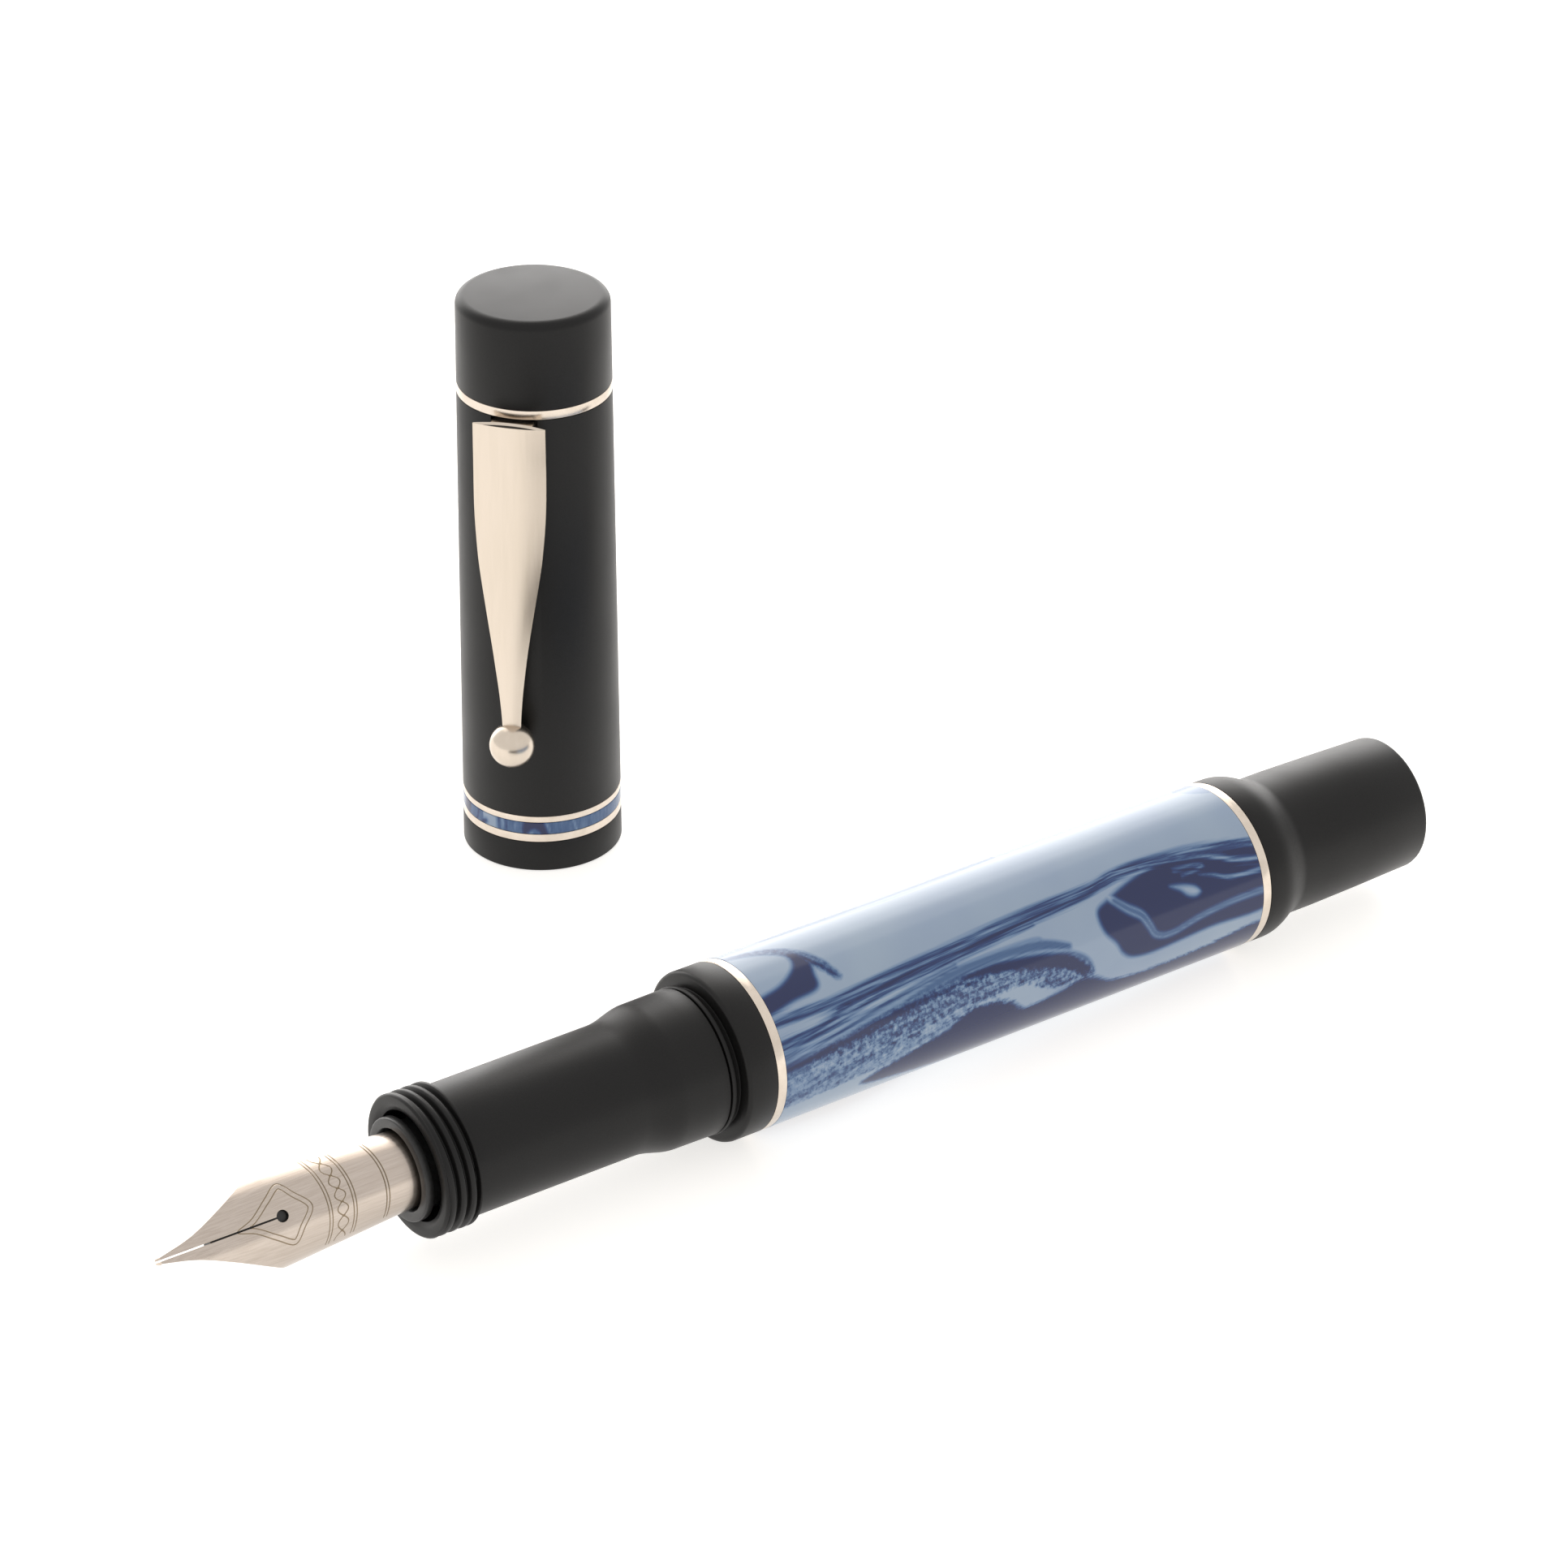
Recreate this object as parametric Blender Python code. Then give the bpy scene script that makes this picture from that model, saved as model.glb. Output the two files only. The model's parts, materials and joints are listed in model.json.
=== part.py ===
"""Fountain pen with a marbled barrel: the uncapped pen lies on its barrel and
its cap stands upright beside it.

The pen lies along X with the nib at -X, and the cap stands on its mouth at +Y.
Stations along the pen are measured from the front face of the front trim ring,
and heights on the cap from its mouth. Sizes are in millimetres.
"""
import math

import bmesh
import bpy
from mathutils import Matrix, Vector

MM = 0.001
GAP = 0.05               # between pieces that are fixed to each other
TURNED_SIDES = 32
SMALL_SIDES = 24

# Driving dimensions
BARREL_R = 7.81
TRIM_R = 7.79
BARREL_LENGTH = 54.29    # front ring's front face to the rear ring
RING_WIDTH = 0.96
TAIL_END = 75.6
NIB_TIP = -57.45
GRIP_FACE = -32.55       # front end of the grip section
GRIP_SHOULDER = -4.09    # rear end of the grip, where its tenon starts
NIB_TILT = math.radians(56.0)  # nib's top face, turned from straight up towards -Y

# Threads
GRIP_THREAD_PITCH = 1.0
GRIP_THREAD_CREST_R = 6.48
GRIP_THREAD_DEPTH = 0.40
GRIP_THREAD_END = -29.07

# Bores and the tenons that fill them
CORE_BORE_R = 6.20       # barrel tube's bore
CORE_TENON_R = 6.10
SECTION_TENON_R = 5.20
COLLAR_BORE_R = 5.30
SECTION_BORE_R = 4.06

# Cap
CAP_MOUTH_R = 7.60
CAP_TAPER = 0.00867      # radius lost for each millimetre of height
CAP_HEIGHT = 56.43
CAP_BORE_R = 6.80
CAP_SLEEVE_R = 7.06
CLIP_TURN = math.radians(-138.8)  # clip's direction around the cap, from +X

# Where the pen and the cap stand: the origin is under the middle of the whole
CAP_OFFSET_X = 14.85
CAP_OFFSET_Y = 52.05
PEN_X = -(NIB_TIP + TAIL_END) / 2
PEN_Y = -(CAP_OFFSET_Y + CAP_MOUTH_R - BARREL_R) / 2
PEN_AT = (PEN_X, PEN_Y, BARREL_R)
CAP_AT = (PEN_X + CAP_OFFSET_X, PEN_Y + CAP_OFFSET_Y, 0.0)

# Surfaces: colour, metallic, roughness
FINISHES = {
    "marbled_resin": ((0.10, 0.19, 0.37), 0.0, 0.22),
    "black_resin": ((0.018, 0.018, 0.018), 0.0, 0.40),
    "polished_trim": ((0.78, 0.72, 0.64), 1.0, 0.16),
    "nib_steel": ((0.70, 0.64, 0.58), 1.0, 0.20),
    "tipping_alloy": ((0.55, 0.55, 0.56), 1.0, 0.30),
    "feed_plastic": ((0.020, 0.020, 0.020), 0.0, 0.50),
    "seal_rubber": ((0.015, 0.015, 0.015), 0.0, 0.70),
    "clear_plastic": ((0.80, 0.85, 0.88), 0.0, 0.10),
    "converter_metal": ((0.60, 0.60, 0.61), 1.0, 0.25),
    "liner_plastic": ((0.035, 0.035, 0.035), 0.0, 0.55),
}


def cap_radius(height):
    return CAP_MOUTH_R - CAP_TAPER * height


def make_material(name):
    colour, metallic, roughness = FINISHES[name]
    material = bpy.data.materials.new(name)
    material.use_nodes = True
    shader = material.node_tree.nodes["Principled BSDF"]
    shader.inputs["Base Color"].default_value = (*colour, 1.0)
    shader.inputs["Metallic"].default_value = metallic
    shader.inputs["Roughness"].default_value = roughness
    if name == "clear_plastic":
        shader.inputs["Alpha"].default_value = 0.35
    material.diffuse_color = (*colour, 1.0)
    return material


def finish(name, shape, at, surface):
    """Turns a bmesh in millimetres into a named object at a place in millimetres."""
    bmesh.ops.remove_doubles(shape, verts=shape.verts, dist=0.001)
    bmesh.ops.scale(shape, vec=(MM, MM, MM), verts=shape.verts)
    bmesh.ops.recalc_face_normals(shape, faces=shape.faces)
    mesh = bpy.data.meshes.new(name)
    shape.to_mesh(mesh)
    shape.free()
    mesh.shade_smooth()
    mesh.set_sharp_from_angle(angle=math.radians(35))
    mesh.materials.append(bpy.data.materials[surface])
    piece = bpy.data.objects.new(name, mesh)
    piece.location = Vector(at) * MM
    bpy.context.collection.objects.link(piece)
    return piece


def spin_outline(outline, axis, sides):
    """A solid of revolution from (station, radius) points. The outline closes on
    itself, unless both its ends lie on the axis."""
    shape = bmesh.new()
    if axis == "X":
        points = [(station, 0.0, radius) for station, radius in outline]
        direction = (1, 0, 0)
    else:
        points = [(radius, 0.0, station) for station, radius in outline]
        direction = (0, 0, 1)
    verts = [shape.verts.new(point) for point in points]
    for first, second in zip(verts, verts[1:]):
        shape.edges.new((first, second))
    if outline[0][1] > 0.0:
        shape.edges.new((verts[-1], verts[0]))
    bmesh.ops.spin(shape, geom=shape.verts[:] + shape.edges[:], cent=(0, 0, 0),
                   axis=direction, angle=math.tau, steps=sides, use_merge=True)
    bmesh.ops.remove_doubles(shape, verts=shape.verts, dist=0.001)
    return shape


def turned_on_pen(name, outline, surface, sides=TURNED_SIDES):
    return finish(name, spin_outline(outline, "X", sides), PEN_AT, surface)


def turned_on_cap(name, outline, surface, sides=TURNED_SIDES):
    return finish(name, spin_outline(outline, "Z", sides), CAP_AT, surface)


def loft(rings):
    """A closed skin over rings of points, with flat ends."""
    shape = bmesh.new()
    loops = []
    for ring in rings:
        verts = [shape.verts.new(point) for point in ring]
        edges = [shape.edges.new((a, b)) for a, b in zip(verts, verts[1:] + verts[:1])]
        loops.append((verts, edges))
    for (_, edges), (_, next_edges) in zip(loops, loops[1:]):
        bmesh.ops.bridge_loops(shape, edges=edges + next_edges)
    shape.faces.new(loops[0][0])
    shape.faces.new(loops[-1][0])
    return shape


def arc(centre, radius, start, end, steps):
    """Points (station, radius) along an arc, with angles in degrees."""
    points = []
    for step in range(steps + 1):
        angle = math.radians(start + (end - start) * step / steps)
        points.append((centre[0] + radius * math.cos(angle),
                       centre[1] + radius * math.sin(angle)))
    return points


def blend(value, low, high):
    """0 at low, 1 at high, smooth between them."""
    share = min(max((value - low) / (high - low), 0.0), 1.0)
    return share * share * (3 - 2 * share)


# ---------------------------------------------------------------- barrel group

TENON_LENGTH = 8.0
SEAL_SEAT_R = 5.65
SEAL_SEAT_END = -3.10


def make_barrel_tube():
    front = RING_WIDTH
    outline = [(front, CORE_BORE_R), (front, BARREL_R),
               (BARREL_LENGTH, BARREL_R), (BARREL_LENGTH, CORE_BORE_R)]
    turned_on_pen("barrel_tube", outline, "marbled_resin")


def make_trim_ring(name, front):
    rear = front + RING_WIDTH - GAP
    inner = CORE_TENON_R + 2 * GAP
    outline = [(front, inner), (front, TRIM_R), (rear, TRIM_R), (rear, inner)]
    turned_on_pen(name, outline, "polished_trim")


def make_front_collar():
    lip_front, lip_rear, face = -3.96, -3.49, -2.94
    lip_r, groove_r = 6.73, 6.35
    outline = [(lip_front, SEAL_SEAT_R), (lip_front, lip_r), (lip_rear, lip_r),
               (lip_rear, groove_r), (face, groove_r)]
    outline += arc((face + 0.3, TRIM_R - 0.3), 0.3, 180, 90, 3)
    outline += [(0.0, TRIM_R), (0.0, CORE_TENON_R), (TENON_LENGTH, CORE_TENON_R),
                (TENON_LENGTH, COLLAR_BORE_R), (SEAL_SEAT_END, COLLAR_BORE_R),
                (SEAL_SEAT_END, SEAL_SEAT_R)]
    turned_on_pen("barrel_front_collar", outline, "black_resin")


def make_tail():
    front = BARREL_LENGTH - TENON_LENGTH
    shoulder = BARREL_LENGTH + RING_WIDTH + GAP
    bore_r, bore_end = 4.60, 69.5
    end_r = 6.35
    outline = [(bore_end, 0.0), (bore_end, bore_r), (front, bore_r),
               (front, CORE_TENON_R), (shoulder, CORE_TENON_R), (shoulder, TRIM_R)]
    outline += [(56.76, TRIM_R), (57.7, 7.70), (58.5, 7.42), (59.2, 7.03), (59.8, 6.74),
                (60.5, 6.63), (63.2, 6.65), (68.8, 6.54)]
    outline += arc((TAIL_END - 0.35, end_r - 0.35), 0.35, 85, 0, 3)
    outline += [(TAIL_END, 0.0)]
    turned_on_pen("barrel_tail", outline, "black_resin")


# --------------------------------------------------------------- grip section


def cut_grip_thread(shape):
    """Lowers the turned band between the grip's face and its groove into a
    right-hand thread that runs out at both ends."""
    start, end = GRIP_FACE + 0.18, GRIP_THREAD_END
    for vert in shape.verts:
        radius = math.hypot(vert.co.y, vert.co.z)
        if start - 0.01 < vert.co.x < end + 0.01 and radius > GRIP_THREAD_CREST_R - 0.1:
            turn = math.atan2(vert.co.z, vert.co.y) / math.tau
            phase = (vert.co.x - start) / GRIP_THREAD_PITCH - turn
            wave = 0.5 - 0.5 * math.cos(math.tau * phase)
            fade = blend(vert.co.x, start, start + 0.3) * blend(-vert.co.x, -end, 0.3 - end)
            factor = 1.0 - GRIP_THREAD_DEPTH * wave * fade / radius
            vert.co.y *= factor
            vert.co.z *= factor


def make_grip_section():
    counterbore_r, counterbore_end = 4.92, -29.6
    seal_groove_r = 4.72
    rows = 20
    start = GRIP_FACE + 0.18
    outline = [(4.5, SECTION_BORE_R), (counterbore_end, SECTION_BORE_R),
               (counterbore_end, counterbore_r), (GRIP_FACE, counterbore_r), (GRIP_FACE, 6.22)]
    for row in range(rows + 1):
        outline.append((start + (GRIP_THREAD_END - start) * row / rows, GRIP_THREAD_CREST_R))
    outline += [(-29.02, 5.86), (-28.62, 5.86), (-28.48, 5.885), (-12.16, 5.924),
                (-11.2, 6.00), (-10.2, 6.24), (-9.3, 6.49), (-8.4, 6.62),
                (GRIP_SHOULDER, 6.68), (GRIP_SHOULDER, seal_groove_r), (-3.15, seal_groove_r),
                (-2.95, SECTION_TENON_R), (4.2, SECTION_TENON_R), (4.5, 4.95)]
    shape = spin_outline(outline, "X", TURNED_SIDES)
    cut_grip_thread(shape)
    finish("grip_section", shape, PEN_AT, "black_resin")


def make_section_seal():
    outline = arc((-3.60, 5.17), 0.40, 0, 315, 7)
    turned_on_pen("section_o_ring", outline, "seal_rubber")


# ------------------------------------------------------------------- nib unit

HOUSING_FACE = -33.45
HOUSING_BORE_R = 3.45
NIB_R = 3.39             # nib's outer radius where the housing holds it
NIB_SHEET = 0.25
NIB_REAR = -22.4
NIB_FRONT = -56.95       # front of the sheet, behind the tipping
NIB_SHOULDER = -46.1
NIB_SHOULDER_W = 4.28
NIB_BEND_R = 4.40        # radius that the tines are bent to
NIB_HOLE = -45.95
NIB_HOLE_R = 0.52
SLIT_HALF = 0.08


def nib_crown(x):
    """Height of the nib's middle line over the pen's axis."""
    ahead = max(HOUSING_FACE - x, 0.0) / (HOUSING_FACE - NIB_FRONT)
    return NIB_R - 1.15 * ahead ** 2.2


def nib_half_width(x):
    """Half of the nib's width: a concave flank from the tip, a rounded shoulder and
    a straight taper back to the housing."""
    if x > HOUSING_FACE:
        return NIB_R
    if x > NIB_SHOULDER:
        share = (x - NIB_SHOULDER) / (HOUSING_FACE - NIB_SHOULDER)
        return NIB_SHOULDER_W + (NIB_R - NIB_SHOULDER_W) * share
    run = (x - NIB_FRONT) / (NIB_SHOULDER - NIB_FRONT)
    flank = 0.36 + 2.1 * run + 3.0 * run ** 2 - 0.6 * run ** 4
    return min(flank, NIB_SHOULDER_W - 1.9 * max(1.0 - run, 0.0) ** 1.6)


def nib_bend(x):
    """Radius of the bent sheet across the nib."""
    share = (x - NIB_SHOULDER) / (HOUSING_FACE - NIB_SHOULDER)
    share = min(max(share, 0.0), 1.0)
    return NIB_BEND_R + (NIB_R - NIB_BEND_R) * share


def nib_opening(x):
    """Half of the gap in the middle: the slit, then the breather hole, then none."""
    across = NIB_HOLE_R ** 2 - (x - NIB_HOLE) ** 2
    if across > 1e-9:
        return max(math.sqrt(across), SLIT_HALF if x < NIB_HOLE else 0.0)
    return SLIT_HALF if x < NIB_HOLE else 0.0


def nib_stations():
    hole = [NIB_HOLE - NIB_HOLE_R * math.cos(math.pi * step / 6) for step in range(1, 7)]
    tines = [NIB_FRONT + (NIB_HOLE - NIB_HOLE_R - NIB_FRONT) * (step / 9) for step in range(10)]
    body = [NIB_HOLE + NIB_HOLE_R + 2.3 * step for step in range(1, 5)]
    return tines + hole + body + [HOUSING_FACE, (HOUSING_FACE + NIB_REAR) / 2, NIB_REAR]


def make_nib():
    columns = 7
    shape = bmesh.new()
    for side in (1, -1):
        previous = None
        for x in nib_stations():
            bend = nib_bend(x)
            inner = math.asin(nib_opening(x) / bend)
            outer = math.asin(min(nib_half_width(x) / bend, 1.0))
            centre = nib_crown(x) - bend
            row = []
            for column in range(columns + 1):
                angle = inner + (outer - inner) * column / columns
                row.append(shape.verts.new((x, side * bend * math.sin(angle),
                                            centre + bend * math.cos(angle))))
            for column in range(columns if previous else 0):
                corners = [previous[column], previous[column + 1], row[column + 1], row[column]]
                shape.faces.new(corners if side > 0 else corners[::-1])
            previous = row
    bmesh.ops.rotate(shape, verts=shape.verts, cent=(0, 0, 0),
                     matrix=Matrix.Rotation(NIB_TILT, 3, "X"))
    nib = finish("nib", shape, PEN_AT, "nib_steel")
    if nib.data.polygons[0].normal.y > 0:
        nib.data.flip_normals()
    sheet = nib.modifiers.new("sheet thickness", "SOLIDIFY")
    sheet.thickness = NIB_SHEET * MM
    sheet.offset = -1.0
    sheet.use_even_offset = True


def make_tipping(name, side):
    """Half of the hard pellet at the point, on one side of the slit."""
    shape = bmesh.new()
    bmesh.ops.create_uvsphere(shape, u_segments=16, v_segments=8, radius=0.36,
                              matrix=Matrix.Diagonal((1.35, 1.0, 0.95, 1.0)))
    middle = nib_crown(NIB_FRONT) - 0.17
    bmesh.ops.translate(shape, vec=(NIB_TIP + 0.36 * 1.35, 0, middle), verts=shape.verts)
    for point, away in (((0, side * SLIT_HALF, 0), (0, side, 0)),
                        ((NIB_FRONT - 0.03, 0, 0), (-1, 0, 0))):
        everything = shape.verts[:] + shape.edges[:] + shape.faces[:]
        cut = bmesh.ops.bisect_plane(shape, geom=everything, plane_co=point, plane_no=away,
                                     clear_inner=True)
        rim = [edge for edge in cut["geom_cut"] if isinstance(edge, bmesh.types.BMEdge)]
        bmesh.ops.holes_fill(shape, edges=rim)
    bmesh.ops.rotate(shape, verts=shape.verts, cent=(0, 0, 0),
                     matrix=Matrix.Rotation(NIB_TILT, 3, "X"))
    finish(name, shape, PEN_AT, "tipping_alloy")


def make_housing():
    flange_rear = HOUSING_FACE + 0.76
    outline = [(HOUSING_FACE, HOUSING_BORE_R + 0.25), (HOUSING_FACE, 4.45),
               (HOUSING_FACE + 0.15, 4.60), (flange_rear, 4.60), (flange_rear, 3.90),
               (-29.3, 3.90), (-29.3, 4.00), (-25.3, 4.00), (-25.3, 3.85), (-18.6, 3.85),
               (-18.6, 1.90),
               (-12.5, 1.75), (-12.5, 0.90), (-20.0, 0.90), (-20.0, HOUSING_BORE_R),
               (HOUSING_FACE + 0.61, HOUSING_BORE_R)]
    turned_on_pen("nib_housing", outline, "feed_plastic", SMALL_SIDES)


def feed_ring(x, side_r, top, bottom, points=20):
    ring = []
    middle = 0.0
    if top < side_r - 0.2:
        middle = min((top + bottom) / 2 + 0.4, top - 0.3)
    for point in range(points):
        angle = math.tau * point / points
        rise = math.sin(angle)
        reach = top - middle if rise > 0 else middle - bottom
        ring.append((x, side_r * math.cos(angle), middle + reach * rise))
    return ring


def make_feed():
    """The ink feed under the nib: a ship's-bow point, a finned body and a round
    shank inside the housing."""
    clearance = NIB_SHEET + 0.14
    rings = []
    for x, side_r, depth in ((-52.4, 0.55, -0.9), (-51.2, 1.35, 0.1), (-49.6, 2.05, 1.2),
                             (-47.6, 2.55, 2.1)):
        rings.append(feed_ring(x, side_r, nib_crown(x) - clearance, -depth))
    fins, fin_pitch, first_fin = 6, 1.6, -45.8
    for fin in range(fins):
        front = first_fin + fin * fin_pitch
        for x, low in ((front, 2.95), (front + 0.8, 2.95), (front + 0.82, 2.3),
                       (front + 1.58, 2.3)):
            top = min(nib_crown(x) - clearance, 2.95)
            rings.append(feed_ring(x, 2.95 if low > 2.5 else 2.6, top, -low))
    rings.append(feed_ring(first_fin + fins * fin_pitch, 2.95, 2.95, -2.95))
    rings.append(feed_ring(-20.3, 2.95, 2.95, -2.95))
    shape = loft(rings)
    bmesh.ops.rotate(shape, verts=shape.verts, cent=(0, 0, 0),
                     matrix=Matrix.Rotation(NIB_TILT, 3, "X"))
    finish("feed", shape, PEN_AT, "feed_plastic")


# ------------------------------------------------------------------ converter

CONVERTER_R = 3.60
INK_R = 2.80
ROD_R = 1.25
ROD_FLAT = 0.90          # half of the rod's width across its flats
SLEEVE_END = 44.0


def flatten_key(shape, largest, half):
    """Cuts two flats, above and below, on what is no larger than a radius."""
    for vert in shape.verts:
        if math.hypot(vert.co.y, vert.co.z) < largest:
            vert.co.z = min(max(vert.co.z, -half), half)


def make_converter():
    front, rear = -17.8, 20.0
    tube = [(front, 1.98), (front, CONVERTER_R), (rear, CONVERTER_R), (rear, INK_R),
            (-11.8, INK_R), (-11.8, 1.98)]
    turned_on_pen("converter_tube", tube, "clear_plastic", SMALL_SIDES)

    sleeve_r, sleeve_bore, lip_bore = 3.95, 3.67, 3.05
    sleeve = [(14.0, sleeve_bore), (14.0, sleeve_r), (SLEEVE_END, sleeve_r),
              (SLEEVE_END, lip_bore), (SLEEVE_END - 0.8, lip_bore),
              (SLEEVE_END - 0.8, sleeve_bore)]
    turned_on_pen("converter_sleeve", sleeve, "converter_metal", SMALL_SIDES)

    bush = [(20.1, ROD_R + 0.09), (20.1, CONVERTER_R), (24.2, CONVERTER_R),
            (24.2, ROD_R + 0.09)]
    shape = spin_outline(bush, "X", SMALL_SIDES)
    flatten_key(shape, 2.0, ROD_FLAT + 0.08)
    finish("converter_guide_bush", shape, PEN_AT, "liner_plastic")


def make_piston():
    seal_front, seal_rear, seal_r = -11.3, -8.3, 2.72
    socket_r, socket_end = 1.32, -10.0
    seal = [(seal_front, 0.0), (seal_front, 2.2), (seal_front + 0.35, seal_r),
            (-10.4, seal_r), (-10.2, 2.45), (-9.4, 2.45), (-9.2, seal_r), (seal_rear, seal_r),
            (seal_rear, socket_r), (socket_end, socket_r), (socket_end, 0.0)]
    turned_on_pen("piston_seal", seal, "seal_rubber", SMALL_SIDES)

    rod_front, rod_rear = socket_end + GAP, 30.0
    rod = [(rod_front, 0.0), (rod_front, ROD_R), (rod_rear - 0.4, ROD_R),
           (rod_rear, ROD_R - 0.3), (rod_rear, 0.0)]
    shape = spin_outline(rod, "X", SMALL_SIDES)
    flatten_key(shape, 2.0, ROD_FLAT)
    finish("piston_rod", shape, PEN_AT, "liner_plastic")


def make_converter_knob():
    flange_r, neck_r, knob_r, bore_r = 3.55, 2.95, 3.70, 1.36
    front, rear = 24.6, 55.0
    outline = [(53.5, 0.0), (53.5, bore_r), (front, bore_r), (front, flange_r),
               (26.0, flange_r), (26.0, neck_r), (SLEEVE_END + 0.3, neck_r),
               (SLEEVE_END + 0.3, knob_r), (rear - 0.4, knob_r), (rear, knob_r - 0.4),
               (rear, 0.0)]
    turned_on_pen("converter_knob", outline, "liner_plastic", SMALL_SIDES)


# ------------------------------------------------------------------------ cap

BAND_SEAMS = (3.14, 3.99, 5.23, 5.90)   # lip, lower ring, marbled band, upper ring, tube
CROWN_SEAMS = (47.03, 47.94)            # tube, crown ring, crown
CROWN_TENON_R = 6.50
LINER_BORE_R = 5.85
CLIP_PIVOT_R, CLIP_PIVOT_Z = 7.0, 46.3


def cap_ring(name, low, high, inner, surface):
    outline = [(low, inner), (high, inner), (high, cap_radius(high)), (low, cap_radius(low))]
    turned_on_cap(name, outline, surface)


def make_cap_bands():
    lip_top, ring_top, band_top, tube_low = BAND_SEAMS
    inner = CAP_SLEEVE_R + GAP
    lip = [(0.0, CAP_BORE_R + 0.15), (0.0, CAP_MOUTH_R - 0.2), (0.06, CAP_MOUTH_R - 0.06),
           (0.2, cap_radius(0.2)), (lip_top - GAP, cap_radius(lip_top)),
           (lip_top - GAP, CAP_SLEEVE_R), (8.4, CAP_SLEEVE_R), (8.4, CAP_BORE_R),
           (0.15, CAP_BORE_R)]
    turned_on_cap("cap_lip", lip, "black_resin")
    cap_ring("cap_lower_ring", lip_top, ring_top - GAP, inner, "polished_trim")
    cap_ring("cap_marbled_band", ring_top, band_top - GAP, inner, "marbled_resin")
    cap_ring("cap_upper_ring", band_top, tube_low - GAP, inner, "polished_trim")


def box_around(low, high, turn):
    """A box from its corners, turned about the cap's axis."""
    shape = bmesh.new()
    centre = (Vector(low) + Vector(high)) / 2
    size = Vector(high) - Vector(low)
    bmesh.ops.create_cube(shape, size=1.0, matrix=Matrix.Translation(centre)
                          @ Matrix.Diagonal((*size, 1.0)))
    bmesh.ops.rotate(shape, verts=shape.verts, cent=(0, 0, 0),
                     matrix=Matrix.Rotation(turn, 3, "Z"))
    return shape


def make_cap_tube():
    low, high = BAND_SEAMS[3], CROWN_SEAMS[0] - GAP
    outline = [(low, CAP_SLEEVE_R + GAP), (low, cap_radius(low)), (high, cap_radius(high)),
               (high, CROWN_TENON_R + 0.08), (41.9, CROWN_TENON_R + 0.08),
               (41.9, LINER_BORE_R), (31.0, LINER_BORE_R), (31.0, 6.56), (25.0, 6.56),
               (24.6, CAP_BORE_R), (8.45, CAP_BORE_R), (8.45, CAP_SLEEVE_R + GAP)]
    tube = turned_on_cap("cap_tube", outline, "black_resin")
    slot = finish("clip_slot_cutter",
                  box_around((6.2, -2.2, 45.55), (8.0, 2.2, 48.0), CLIP_TURN),
                  CAP_AT, "black_resin")
    slot.hide_render = True
    slot.display_type = "WIRE"
    cut = tube.modifiers.new("clip slot", "BOOLEAN")
    cut.operation = "DIFFERENCE"
    cut.solver = "EXACT"
    cut.object = slot


def make_crown():
    ring_low, crown_low = CROWN_SEAMS
    cap_ring("crown_ring", ring_low, crown_low - GAP, CROWN_TENON_R + 0.08, "polished_trim")
    edge = 0.9
    top_r = cap_radius(CAP_HEIGHT)
    outline = [(42.0, CROWN_TENON_R), (crown_low, CROWN_TENON_R),
               (crown_low, cap_radius(crown_low)), (CAP_HEIGHT - edge, top_r)]
    for step in range(1, 5):
        angle = math.radians(90 * step / 4)
        outline.append((CAP_HEIGHT - edge + edge * math.sin(angle),
                        top_r - edge + edge * math.cos(angle)))
    outline = [(55.6, 0.0), (55.6, LINER_BORE_R), (42.0, LINER_BORE_R)] + outline
    outline.append((CAP_HEIGHT, 0.0))
    turned_on_cap("cap_crown", outline, "black_resin")


def make_inner_cap():
    low, high, outer, inner, floor = 31.5, 55.5, 5.78, 5.20, 54.8
    outline = [(floor, 0.0), (floor, inner), (low, inner), (low, outer), (high, outer),
               (high, 0.0)]
    turned_on_cap("inner_cap", outline, "liner_plastic")


def clip_half_width(z):
    """Half of the clip's width: parallel at the top, then a concave taper."""
    taper = blend(-z, -38.5, -16.0)
    straight = (38.5 - z) / 22.5
    return 3.42 - 2.52 * (0.55 * taper + 0.45 * min(max(straight, 0.0), 1.0))


def clip_edge_radius(z):
    """Distance of the clip's side edges from the cap's axis."""
    return 8.55 + 1.15 * blend(-z, -44.0, -22.0)


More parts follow.
